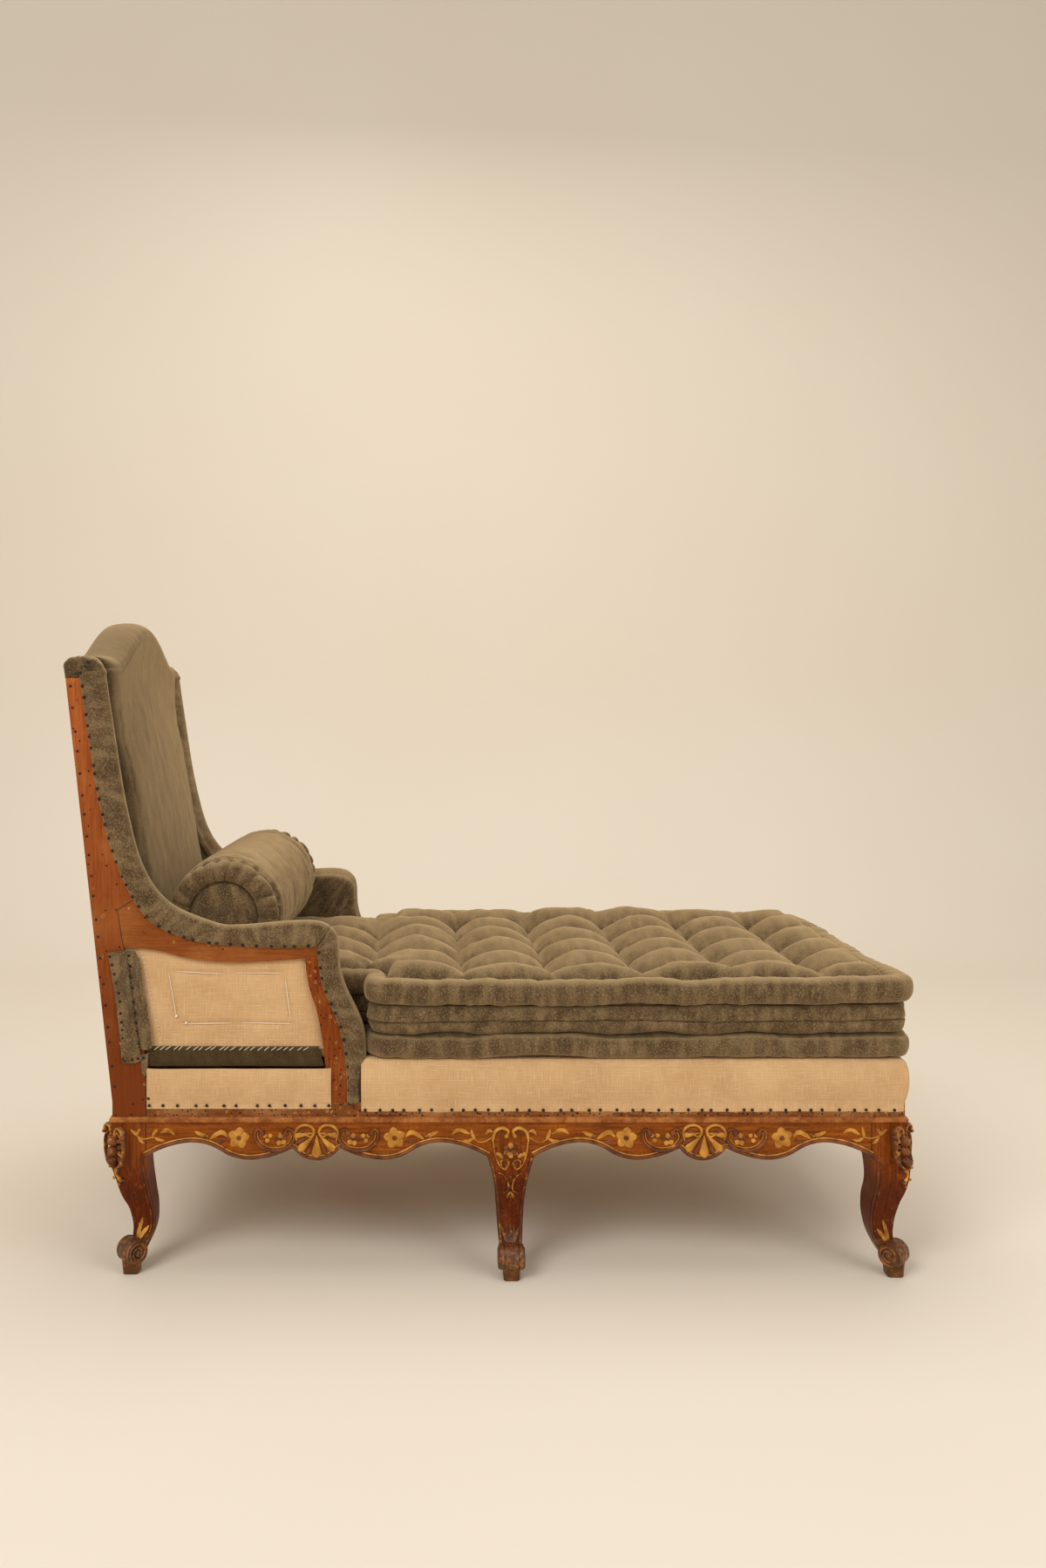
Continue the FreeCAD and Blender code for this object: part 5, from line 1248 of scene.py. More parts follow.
# %% Platform
DECK_X = (lean_x(RAIL_TOP) + 0.004, FOOT_X)
DECK_Z, TACK_Z = 0.4044, 0.3085
SIDE_SECTION = [(0.0006, 0.3050), (0.0016, 0.3065), (0.0012, 0.3200), (0.0040, 0.3330),
                (0.0072, 0.3520), (0.0080, 0.3700), (0.0058, 0.3870), (0.0010, 0.3990),
                (-0.0080, 0.4040), (-0.0300, DECK_Z)]


def platform_side():
    """Bulging side from stump to stump round the foot, tight on the legs at both corners."""
    corner = 0.003                                     # the cloth lies tight on the leg
    line = [(STUMP_FRONT, -HALF_WIDTH), (FOOT_X - corner, -HALF_WIDTH)]
    turn = np.linspace(-math.pi / 2, 0, 12)[1:-1]
    bend = stacked(FOOT_X - corner + corner * np.cos(turn),
        -HALF_WIDTH + corner + corner * np.sin(turn))
    half = np.vstack([line, bend, [(FOOT_X, -HALF_WIDTH + corner), (FOOT_X, 0)]])
    path = evenly(np.vstack([half, half[-2::-1] * [1, -1]]), 620)
    far = lengths(path)[:, None]
    section = smooth_curve(SIDE_SECTION, 34)
    normal = along_and_aside(path)[1]
    out, up = section[None, :, 0] + 0 * far, section[None, :, 1] + 0 * far
    puckers = 1 - np.sin(math.pi * between(far, stitch_marks(far[-1, 0], 0.026, 131))) ** 0.5
    low = np.exp(-((up - 0.312) / 0.010) ** 2)
    spot = stacked(far, up)
    middle = np.clip((up - 0.315) / 0.03, 0, 1) * np.clip((0.404 - up) / 0.01, 0, 1)
    out = (out + 0.0014 * noise(spot, 0.07, 132) * middle
        + 0.0010 * noise(spot * [1, 0.3], 0.02, 133) * middle - 0.0010 * puckers * low)
    up = up + 0.0012 * noise(spot, 0.02, 134) * (up < 0.308)
    points = np.concatenate([path[:, None] + normal[:, None] * out[..., None], up[..., None]], -1)
    return surface(points, (far, up))


def platform_bay():
    """The stretch of side under the arm, between post and stump."""
    x = np.linspace(-0.6415, -0.2960, 110)[:, None]
    section = smooth_curve([(0.0012, 0.3105)] + SIDE_SECTION[2:7], 26)
    spot = stacked(x, section[None, :, 1])
    ends = np.minimum(1, np.minimum(x + 0.6415, -0.2960 - x) / 0.02)
    out = (section[None, :, 0] * (0.25 + 0.75 * ends ** 0.5)
        + 0.0016 * noise(spot, 0.05, 135) * (spot[..., 1] > 0.32))
    points = stacked(x, -HALF_WIDTH - out, spot[..., 1])
    return surface(points, (x, section[None, :, 1]))


def deck():
    """Top of the platform, nearly flat, tucked between the arms."""
    x, y = np.meshgrid(np.linspace(*DECK_X, 120), np.linspace(-0.372, 0.372, 70), indexing="ij")
    y = y * np.where(x < STUMP_FRONT, BETWEEN_POSTS / 0.372, 1.0)
    z = DECK_Z - 0.0010 * (1 + noise(stacked(x, y), 0.09, 136))
    return surface(stacked(np.minimum(x, FOOT_X - 0.008), y, z), (x, y))


def platform_rear():
    """The rear side between the posts, bulging a little over the rear rail."""
    y = np.linspace(-BETWEEN_POSTS, BETWEEN_POSTS, 90)[:, None]
    v = np.linspace(0, 1, 16)[None]
    spot = stacked(y, 0.322 + 0.082 * v)
    x = HEAD_X + 0.0030 - 0.0022 * np.sin(math.pi * v) ** 0.5 + 0.0008 * noise(spot, 0.05, 137)
    return surface(stacked(x, spot[..., 0], spot[..., 1]), (spot[..., 0], spot[..., 1]), flip=True)


bay = platform_bay()
platform = joined([platform_side(), bay, mirrored(bay), deck(), platform_rear()])
platform = piece("platform_cloth", platform, HESSIAN, "chaise",
    ["platform_cover", "platform_stuffing"])
line = np.array([(-0.232, -HALF_WIDTH - 0.0022, TACK_Z),
    (FOOT_X - 0.02, -HALF_WIDTH - 0.0022, TACK_Z)])
side_tacks = along_line(line, 0.026, 141)
bay_tacks = along_line(line * [0, 1, 1] + [[-0.636, -0.0012, 0.0085], [-0.300, -0.0012, 0.0085]],
    0.028, 142)
edge_tacks = along_line([(-0.6375, -HALF_WIDTH - 0.002, 0.330),
    (-0.6370, -HALF_WIDTH - 0.002, 0.372)], 0.020, 143)
post_edge = back_points([(0.0075, 0.780), (0.0075, 0.030)])
old_tacks = on_face(along_line(post_edge, 0.040, 145), -HALF_WIDTH - 0.0002)
ear_tacks = on_face([photo_xz(*p)
    for p in [(89.3, 773.2), (96.0, 774.0), (99.2, 764.4), (102.7, 759.8)]], -HALF_WIDTH - 0.0050)
tacks.append(tack_heads(np.vstack([side_tacks, bay_tacks, edge_tacks]), (0, -1, 0), seed=5))
tacks.append(tack_heads(np.vstack([old_tacks, ear_tacks]), (0, -1, 0), 0.0026, seed=6))
foot_tacks = along_line([(FOOT_X + 0.0022, -0.352, TACK_Z), (FOOT_X + 0.0022, 0.352, TACK_Z)],
    0.026, 144)


def sheet_area(part):
    """Half the cross product of each face's diagonals, added up."""
    a, b, c, d = [part["points"][part["faces"][:, k]] for k in range(4)]
    return float(0.5 * np.linalg.norm(np.cross(c - a, d - b), axis=1).sum())


strip, flap, near_tacks, near_threads = pulled_strip(), post_flap(), joined(tacks), joined(threads)
for side, turned in (("right", lambda part: part), ("left", mirrored)):
    sheet = piece("arm_hessian_" + side, turned(panel), HESSIAN, "chaise",
        ["arm_panel_" + side])
    strip_piece = piece("pulled_velvet_" + side, turned(strip), DARK_VELVET,
        "chaise", ["arm_pull_strip_" + side])
    flap_piece = piece("flap_velvet_" + side, turned(flap), VELVET, "chaise",
        ["post_flap_" + side])
    piece("seam_thread_" + side, turned(seam_thread), BLUED, "chaise")
    piece("tacks_" + side, turned(near_tacks), BLUED, "chaise")
    piece("threads_" + side, turned(near_threads), LINEN, "chaise")
piece("tacks_foot", tack_heads(foot_tacks, (1, 0, 0), seed=7), BLUED, "chaise")
print(len(near_tacks["faces"]) // 32, "tacks on each side, flap", round(sheet_area(flap), 4),
    "square metres")

# %% [markdown]
# ## Outside back, canvas and webbing
# The back is closed by hessian between the posts. Under the seat, jute straps are stretched
# over and under each other from rail to rail, and a canvas on them carries the stuffing.

# %% Outside back, canvas and webbing
def outside_back():
    """Hessian on the posts' leaning plane, its upper edge on the crest's bow, slack by 3 mm."""
    y = np.linspace(-INNER + 0.0005, INNER - 0.0005, 120)[:, None]
    v = np.linspace(0, 1, 110)[None]
    z = 0.456 + (POST_TOP - 0.0155 + crest_rise(y) - 0.456) * v
    slack = (np.sin(math.pi * v) * np.cos(math.pi * y / 2 / INNER)) ** 0.4
    x = (lean_x(z) + 0.0012 - 0.0030 * slack + 0.0008 * noise(stacked(y, z), 0.06, 151) * slack)
    return surface(stacked(x, y, z), (y, z), flip=True)


def strap(start, end, aside, up, waves=0, first=1):
    """Flat tube 50 mm wide along a line; its height waves to pass over and under the others."""
    t = np.linspace(0, 1, 121)[:, None, None]
    ring = np.array([(1, 0), (0.98, 0.8), (0, 1), (-0.98, 0.8), (-1, 0), (-0.98, -0.8), (0, -1),
        (0.98, -0.8)])
    closed = np.minimum(1, np.minimum(t, 1 - t) / 0.004)
    lift = 0.0008 * first * np.cos(math.pi * waves * t) * (waves > 0)
    start, end, aside, up = [np.array(v, float) for v in (start, end, aside, up)]
    points = (start + (end - start) * t + aside * 0.025 * ring[None, :, :1]
        + up * (0.0006 * closed * ring[None, :, 1:] + lift))
    far = np.linalg.norm(end - start) * t[..., 0]
    return surface(points, (far, 0.025 * ring[None, :, 0] + 0 * far), ring=True)


def canvas():
    """Cloth on the straps, cut round the arms."""
    x, y = np.meshgrid(np.linspace(-0.671, 0.768, 120), np.linspace(-0.369, 0.369, 60),
        indexing="ij")
    y = y * np.where(x < STUMP_FRONT, BETWEEN_POSTS / 0.369, 1.0)
    return surface(stacked(x, y, 0.3256 + 0.0004 * noise(stacked(x, y), 0.05, 152)),
        (x, y), flip=True)


back = outside_back()
back_sheet = piece("back_hessian", back, HESSIAN, "chaise", ["outside_back_panel"])
under = canvas()
under_sheet = piece("canvas_cloth", under, HESSIAN, "chaise", ["seat_canvas"])
LONG_Y = np.linspace(-INNER, INNER, 11)[1::2]
CROSS_X = np.concatenate([np.linspace(-0.643, -0.304, 7)[1::2],
    np.linspace(-0.242, 0.7165, 17)[1::2]])
seat_straps = [strap((-0.696, y, 0.3228), (0.7695, y, 0.3228), (0, 1, 0), (0, 0, 1), 11, (-1) ** k)
    for k, y in enumerate(LONG_Y)]
seat_straps += [strap((x, -0.370, 0.3242), (x, 0.370, 0.3242), (-1, 0, 0), (0, 0, 1))
    for x in CROSS_X]
piece("seat_webbing_straps", joined(seat_straps), WEBBING, "chaise", ["seat_webbing"])
back_straps = [strap((lean_x(z) + 0.0338, -INNER, z), (lean_x(z) + 0.0338, INNER, z), (-LEAN, 0, 1),
    (1, 0, LEAN)) for z in np.linspace(0.5, 1.063, 9)[1::2]]
piece("back_webbing_straps", joined(back_straps), WEBBING, "chaise", ["back_webbing"])
around = [(-0.330, 0.462), (0.330, 0.462)]
ys = np.linspace(0.330, -0.330, 80)
around += list(zip(ys, POST_TOP - 0.022 + crest_rise(ys))) + [(-0.330, 0.462)]
back_tacks = along_line(around, 0.026, 153)
back_tacks = stacked(lean_x(back_tacks[:, 1]) + 0.0004, *back_tacks.T)
piece("tacks_back", tack_heads(back_tacks, (-1, 0, -LEAN), seed=9), BLUED, "chaise")
print(len(seat_straps), "seat straps, back sheet", round(sheet_area(back), 3), "square metres")

# %% [markdown]
# ## Carving
# The carver left leaves, flowers, scrolls and a shell standing up to 5 mm over the rails,
# and the gilder picked them out. Each is a ridge: a curved middle line, a width and a height
# along it, and a rounded section across. They are drawn flat, as distance along the rail,
# height, and relief, and then set on the faces of rails and legs, sunk by 1 mm.

# %% Ridges, leaves and domes
SUNK = 0.001


def ridge(spine, width, height, gilt=0.0, vein=0.0, columns=9):
    """Height falls off across as (1 - c^2) ** 0.55. A vein cuts a groove down the middle."""
    spine = np.asarray(spine, float)
    c = np.linspace(-1, 1, columns)[None]
    normal = along_and_aside(spine)[1]
    width, height = [np.broadcast_to(np.asarray(v, float), len(spine))[:, None]
        for v in (width, height)]
    across = spine[:, None] + normal[:, None] * (c * width / 2)[..., None]
    round_off = (1 - c ** 2) ** 0.55 * (1 - vein * np.exp(-(c / 0.22) ** 2))
    points = np.concatenate([across, (height * round_off - SUNK)[..., None]], -1)
    return surface(points, flip=True, gilt=gilt, relief=round_off + 0 * width)


def leaf(spine, width, height=0.0032, gilt=1.0, notches=2.0, count=22):
    """A ridge that swells past its middle and ends in a point, its edge notched."""
    spine = smooth_curve(spine, count)
    t = np.linspace(0.02, 0.985, count)
    swell = (np.sin(math.pi * t ** 0.85) ** 0.65
        * (1 - 0.16 * np.abs(np.sin(math.pi * notches * t)) ** 3))
    return ridge(spine, width * swell, height * np.sin(math.pi * t ** 0.7) ** 0.5, gilt, vein=0.45)


def dome(middle, radius, height, gilt=0.0, dimple=0.0):
    """Half a ball, flattened, or with a dimple in its middle."""
    rho = np.linspace(0, 1, 7)[:, None]
    turn = np.linspace(0, 2 * math.pi, 16, endpoint=False)[None]
    h = height * np.sqrt(1 - rho ** 2) * (1 - dimple * np.exp(-(rho / 0.35) ** 2)) - SUNK
    points = stacked(middle[0] + radius * rho * np.cos(turn),
        middle[1] + radius * rho * np.sin(turn), h + 0 * turn)
    return surface(points, ring=True, gilt=gilt, relief=np.sqrt(1 - rho ** 2) + 0 * turn)


def scroll(spine, width, height=0.0038, gilt=0.0, ends=(1.0, 1.0), inner=None, count=46):
    """A C or S scroll: a ridge with a ball at its ends, and a gilt line along its inner side."""
    spine = smooth_curve(spine, count)
    t = np.linspace(0, 1, count)
    taper = 0.55 + 0.45 * np.sin(math.pi * t) ** 0.5
    parts = [ridge(spine, width * taper, height, gilt)]
    for place, size in ((0, ends[0]), (-1, ends[1])):
        if size:
            parts.append(dome(spine[place], 0.62 * width * size, height * 1.25, gilt * 0.8, 0.2))
    if inner is not None:
        side = along_and_aside(spine)[1] * inner * width * 0.62
        parts.append(ridge(spine[3:-3] + side[3:-3], 0.0022, height * 0.62, 0.75, columns=5))
    return joined(parts)


def flower(middle, radius, turn=0.0, gilts=(1, 1, 1, 1, 1), height=0.0042):
    """Petals swell to a rounded end, cupped up the middle, round a dark seed."""
    parts = []
    t = np.linspace(0.0, 1.0, 14)
    for k, gilt in enumerate(gilts):
        way = math.radians(90 + turn + 360 * k / len(gilts))
        direction = np.array([math.cos(way), math.sin(way)])
        spine = np.array(middle) + direction * (radius * (0.18 + 0.82 * t))[:, None]
        wide = radius * 0.92 * np.sin(math.pi * (0.12 + 0.86 * t)) ** 0.6
        parts.append(ridge(spine, wide,
            height * (0.35 + 0.65 * t) * np.minimum(1, (1.02 - t) / 0.2) ** 0.5, gilt,
            vein=0.30))
    parts.append(dome(middle, 0.24 * radius, height * 1.05, 0.1, 0.6))
    return joined(parts)


def turned_over(part, about):
    """The same carving reflected about a height line at s = about."""
    return dict(part, points=part["points"] * [-1, 1, 1] + [2 * about, 0, 0],
        faces=part["faces"][:, ::-1])


def both_hands(parts, about=0.0):
    """A group of carvings with its reflection."""
    part = joined(parts)
    return joined([part, turned_over(part, about)])


# %% [markdown]
# ## Carving of a rail
# Every bay of the rail has the same ornament about its shell: a fan of ribs under two curls,
# then on each hand a C-scroll that holds a flower and a leaf, a five-petalled flower, and
# leaves that run out towards the leg. Beside each leg a spray grows out of the leg's scrolls.
# A moulding follows the scalloped lower edge, with a gilt fillet over a round.

# %% Carving of a rail
MM = 0.001
BAY_UNIT, LEG_UNIT, DRAWN_LEVEL = 0.323 * MM, 0.2188 * MM, 0.3137
BAY_MIDDLES = (-0.3232, 0.4030)


def drawn(points, middle, unit):
    """Points of a drawing in its own units: s from its middle line, height from one level."""
    return [((px - middle) * unit, DRAWN_LEVEL - py * unit) for px, py in points]


def bay(*points):
    """Points of the drawing of one bay, in metres from its middle line."""
    return drawn(points, 770, BAY_UNIT)


def bay_ornament():
    """Shell, C-scrolls, flowers and leaves, about s = 0, heights from the floor."""
    parts = []
    hinge = np.array(bay((770, 148))[0])
    for tip, wide, gilt in (((770, 290), 25, 1.0), ((712, 280), 11, 0.1), ((668, 252), 20, 1.0),
        ((644, 212), 10, 0.1), ((646, 166), 15, 0.9)):
        t = np.linspace(0.10, 1, 18)
        spine = hinge + (np.array(bay(tip)[0]) - hinge) * t[:, None]
        widths = wide * MM * t * np.minimum(1, (1.02 - t) / 0.14) ** 0.5
        rib = ridge(spine, widths, 0.0055 * (0.55 + 0.45 * t), gilt)
        parts += [rib] if wide == 25 else [rib, turned_over(rib, 0.0)]
    half = [scroll(bay((654, 188), (646, 146), (672, 112), (714, 103), (748, 122), (754, 152),
            (734, 172), (712, 158)), 0.0068, 0.0060, 1.0, (0.5, 0.9)),
            dome(bay((688, 150))[0], 0.0068, 0.0036, 0.2)]
    half.append(scroll(bay((456, 152), (436, 128), (412, 148), (420, 196), (466, 240), (532, 253),
                       (600, 234), (640, 184), (630, 140), (603, 127), (588, 150)),
                       0.0086, 0.0056, 0.30, (1.1, 1.1), inner=-1))
    half.append(flower(bay((562, 188))[0], 0.0125, 8, (1.0, 0.1, 1.0, 1.0, 0.1), 0.0044))
    half.append(flower(bay((484, 176))[0], 0.0105, 60, (1.0, 0.9, 1.0), 0.0036))
    half.append(flower(bay((318, 180))[0], 0.0208, -8, (1, 1, 1, 1, 1), 0.0052))
    half.append(leaf(bay((256, 174), (214, 148), (143, 190)), 0.0110, notches=3))
    half.append(leaf(bay((246, 186), (212, 204), (178, 200)), 0.0078, gilt=0.1))
    half.append(leaf(bay((140, 170), (102, 160), (58, 140)), 0.0090, notches=3))
    half.append(leaf(bay((136, 158), (112, 176), (92, 172)), 0.0056, gilt=0.1))
    return joined(parts + [both_hands(half)])


def leg(middle, *points):
    """Points of the drawing of a leg, in metres from its middle."""
    return drawn(points, middle, LEG_UNIT)


def spray_of(middle, stem, leaves):
    """Stem and leaves beside a leg, in the drawing's units, s counted from the leg's middle."""
    parts = [ridge(smooth_curve(leg(middle, *stem), 26), 0.0030, 0.0028, 0.8)]
    return joined(parts + [leaf(leg(middle, *points), wide, gilt=0.95, notches=3)
        for points, wide in leaves])


SPRAY_MIDDLE = spray_of(565, [(245, 268), (290, 298), (345, 295), (402, 262)],
                        [([(212, 230), (124, 196), (56, 238)], 0.0092),
                         ([(262, 274), (236, 235), (228, 186)], 0.0080),
                         ([(246, 268), (200, 292), (146, 284)], 0.0074)])
SPRAY_FOOT = spray_of(462, [(258, 262), (330, 266), (400, 240)],
                      [([(220, 236), (140, 196), (70, 228)], 0.0092),
                       ([(262, 270), (248, 215), (240, 166)], 0.0080),
                       ([(254, 260), (205, 288), (150, 276)], 0.0074)])
SPRAY_REAR = spray_of(286, [(340, 240), (400, 272), (430, 272), (500, 258)],
                      [([(480, 252), (505, 215), (532, 192)], 0.0080),
                       ([(556, 222), (620, 196), (678, 242)], 0.0092),
                       ([(505, 264), (550, 284), (594, 290)], 0.0074)])


def lower_edge(node, along, face, outer):
    """The scalloped edge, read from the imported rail: lowest points of its outer face, in order."""
    mesh = NODES[node].data
    places = np.empty(len(mesh.vertices) * 3)
    mesh.vertices.foreach_get("co", places)
    places = places.reshape(-1, 3)
    near = places[(np.abs(places[:, face] - outer) < 2e-4) & (places[:, 2] < LEG_TOP + 0.028)]
    keys = np.unique(np.round(near[:, along], 4))
    low = np.array([near[np.abs(near[:, along] - k) < 1e-4, 2].min() for k in keys])
    return stacked(keys, low)


def edge_moulding(line):
    """Section over the edge: a round 5 mm wide, a quirk, and a gilt fillet 2.5 mm wide."""
    path = evenly(line, int(lengths(line)[-1] / 0.0025))
    normal = -along_and_aside(path)[1]
    section = np.array([(-0.0006, -0.002), (-0.0004, 0.0008), (0.0006, 0.0024), (0.0026, 0.0034),
                        (0.0046, 0.0026), (0.0056, 0.0010), (0.0062, 0.0006), (0.0068, 0.0018),
                        (0.0080, 0.0026), (0.0092, 0.0018), (0.0098, -0.001)])
    gilt = np.array([0, 0.1, 0.2, 0.25, 0.2, 0, 0, 0.70, 0.80, 0.70, 0])[None]
    heights = np.broadcast_to(section[None, :, 1:], (len(path), len(section), 1))
    points = np.concatenate([path[:, None] + normal[:, None] * section[None, :, :1], heights], -1)
    return surface(points, gilt=gilt, relief=np.clip(section[:, 1] / 0.0030, 0, 1)[None])


def moved(part, ds):
    """The same carving, moved by ds along the rail."""
    return dict(part, points=part["points"] + [ds, 0, 0])


def on_side(part, face=HALF_WIDTH):
    """Flat carving set on the right side: s becomes x, relief stands out towards -y."""
    p = part["points"]
    return dict(part, points=stacked(p[:, 0], -(face + p[:, 2]), p[:, 1]))


def on_foot(part, face=FOOT_X):
    """Flat carving set on the foot rail: s becomes y, relief stands out towards +x."""
    p = part["points"]
    return dict(part, points=stacked(face + p[:, 2], p[:, 0], p[:, 1]))


ornament = bay_ornament()
MIDDLE_SHOULDER = 0.044
rear_x, foot_x = HEAD_X + BLOCK / 2, FOOT_X - BLOCK / 2
side_line = lower_edge("side_rail_right", 0, 1, -HALF_WIDTH)
lines = [side_line[side_line[:, 0] < MIDDLE_X - MIDDLE_SHOULDER + 1e-4],
    side_line[side_line[:, 0] > MIDDLE_X + MIDDLE_SHOULDER - 1e-4]]
side_carving = [moved(ornament, s) for s in BAY_MIDDLES] + [edge_moulding(line) for line in lines]
side_carving += [moved(SPRAY_REAR, rear_x), moved(both_hands([SPRAY_MIDDLE]), MIDDLE_X),
    moved(SPRAY_FOOT, foot_x)]
side_carving = on_side(joined(side_carving))
foot_line = lower_edge("foot_rail", 1, 0, FOOT_X)
beside_leg = moved(SPRAY_REAR, -HALF_WIDTH + BLOCK / 2)
foot_carving = on_foot(joined([ornament, edge_moulding(foot_line), both_hands([beside_leg])]))
for side, part in (("right", side_carving), ("left", mirrored(side_carving))):
    piece("rail_carving_" + side, part, GILDING, "chaise")
piece("rail_carving_foot", foot_carving, GILDING, "chaise")
print(len(side_carving["faces"]), "faces of carving on each side")

# %% [markdown]
# ## Carving of the legs
# The faces of a cabriole leg curve in and out, so the flat carving is set on a face that
# moves with height. Its place comes from the same table of half widths and shifts as the
# leg's own two outlines. The knees of the corner legs carry a cartouche on the corner.

# %% Faces of the legs
# height as a share of the leg, half width, outward shift
FOOT_LEG = [(1.0, 31.5, 0.0), (0.90, 32.8, 5.0), (0.74, 30.0, 4.0), (0.58, 27.0, -4.0),
            (0.42, 23.0, -8.0), (0.28, 19.0, -5.5), (0.17, 17.0, 4.0)]
REAR_LEG = [(1.0, 31.5, 0.0), (0.93, 32.0, 0.0), (0.83, 30.5, -3.0), (0.67, 28.0, -9.5),
            (0.48, 22.5, -20.0), (0.32, 19.5, -21.5), (0.17, 17.0, -10.0)]
MIDDLE_LEG = [(1.0, 44.0, 0.0), (0.90, 37.0, 4.0), (0.71, 29.0, 0.0), (0.50, 24.8, -6.0),
              (0.32, 22.5, 6.0), (0.17, 19.0, 34.0)]
LEG_Y = HALF_WIDTH - BLOCK / 2
FOOT_TOE, REAR_TOE = (10.0, 31.0), (-3.0, 18.0)


def along_leg(z, table, value):
    """A value of the leg's table at heights z, on a curve; constant above the leg."""
    rows = np.array([(share * LEG_TOP, value(share, half, out) * MM) for share, half, out in table])
    curve = smooth_curve(rows, 80)
    return np.interp(z, curve[::-1, 0], curve[::-1, 1])


def leg_faces(table, toe):
    """Distances of the side face and of the end face of a corner leg from its middle."""
    def side(z):
        """Distance of the face beside the rail."""
        return along_leg(z, table,
            lambda share, half, out: out + half + (toe[1] - toe[0]) * (1 - share) ** 3)

    def end(z):
        """Distance of the face at the end of the frame."""
        return along_leg(z, table, lambda share, half, out: out + half)
    return side, end


def on_leg_side(part, x0, side):
    """Flat carving on a leg's near face: s is counted from the leg's middle."""
    p = part["points"]
    return dict(part, points=stacked(x0 + p[:, 0], -(LEG_Y + side(p[:, 1]) + p[:, 2]), p[:, 1]))


def on_leg_end(part, x0, sign, end):
    """Flat carving on the end face, that looks to the foot (sign 1) or to the head (sign -1)."""
    p = part["points"]
    return dict(part, points=stacked(x0 + sign * (end(p[:, 1]) + p[:, 2]),
        -LEG_Y + sign * p[:, 0], p[:, 1]))


def on_knee(part, x0, sign, side, end):
    """Flat carving on the corner of a leg: relief stands out along the diagonal."""
    p = part["points"]
    z = p[:, 1]
    out = p[:, 2] - 0.0075
    x = end(z) + DIAGONAL * (out - p[:, 0])
    y = side(z) + DIAGONAL * (out + p[:, 0])
    return dict(part, points=stacked(x0 + sign * x, -(LEG_Y + y), z),
        faces=part["faces"] if sign > 0 else part["faces"][:, ::-1])


def edge_bead(x_of, z0=0.050, z1=0.219, gilt=0.38):
    """Thin round along the edge of a leg's face."""
    z = np.linspace(z1, z0, 60)
    return ridge(stacked(x_of(z), z), 0.0060, 0.0034, gilt)

# %% [markdown]
# The middle leg is carved the same on both hands, so half of it is drawn and turned over; only
# the flower and the leaves on its middle line are drawn whole.

# %% Middle leg
def middle_leg_carving():
    """Paired scrolls, a flower in an oval, a bellflower and acanthus at the ankle."""
    half = [scroll(leg(565, (528, 246), (544, 206), (492, 178), (432, 210), (412, 285)), 0.0080,
            0.0064, 0.95, (1.0, 0.4)),
            leaf(leg(565, (414, 214), (378, 202), (340, 244)), 0.0080, 0.0050, 0.8),
            leaf(leg(565, (480, 250), (470, 215), (500, 205)), 0.0060, 0.0060, 0.4),
            ridge(smooth_curve(leg(565, (414, 280), (420, 330), (430, 400), (460, 480), (512, 528),
            (544, 488)), 40), 0.0038, 0.0038, 0.7),
            ridge(smooth_curve(leg(565, (436, 400), (470, 410), (500, 430)), 14),
                  0.0090, 0.0034, 0.6),
            scroll(leg(565, (484, 498), (482, 462), (514, 448), (546, 468), (540, 500)), 0.0046,
            0.0044, 0.55, (1.0, 0.8)),
            scroll(leg(565, (470, 562), (504, 580), (540, 640), (546, 720), (508, 752)), 0.0042,
            0.0040, 0.55, (1.2, 1.2)),
            leaf(leg(565, (562, 742), (546, 772), (538, 806)), 0.0060, 0.0036, 0.7),
            leaf(leg(565, (552, 1195), (520, 1120), (486, 1040)), 0.0085, 0.0032, 0.45),
            leaf(leg(565, (558, 1195), (540, 1110), (528, 1022)), 0.0070, 0.0034, 0.35)]
    middle = [flower(leg(565, (565, 370))[0], 0.0150, 0, (0.95, 0.1, 0.55, 0.7, 0.55, 0.1), 0.0080),
              leaf(leg(565, (565, 560), (565, 590), (565, 630)), 0.0048, 0.0036, 0.5),
              dome(leg(565, (565, 695))[0], 0.0038, 0.0036, 0.4),
              leaf(leg(565, (565, 742), (565, 780), (565, 834)), 0.0048, 0.0036, 0.5),
              leaf(leg(565, (565, 1195), (565, 1110), (565, 1012)), 0.0085, 0.0038, 0.4)]
    return joined([both_hands(half)] + middle)


def middle_side(z):
    """How far the middle leg's near face stands out at heights z."""
    z = np.asarray(z)
    return along_leg(z, MIDDLE_LEG,
        lambda share, half, out: (31.5 if share == 1.0 else half * 0.82) + out)


def middle_half(z):
    """Half width of the middle leg at heights z."""
    return along_leg(z, MIDDLE_LEG, lambda share, half, out: half)


carving = [middle_leg_carving(), both_hands([edge_bead(lambda z: 0.0036 - middle_half(z))])]
leg_carvings = [on_leg_side(joined(carving), MIDDLE_X, middle_side)]
print(len(leg_carvings[0]["faces"]), "faces of carving on the middle leg")

# %% [markdown]
# A corner leg shows two faces. The same drawing goes on both, turned over for the second one,
# and the cartouche goes on the edge between them.

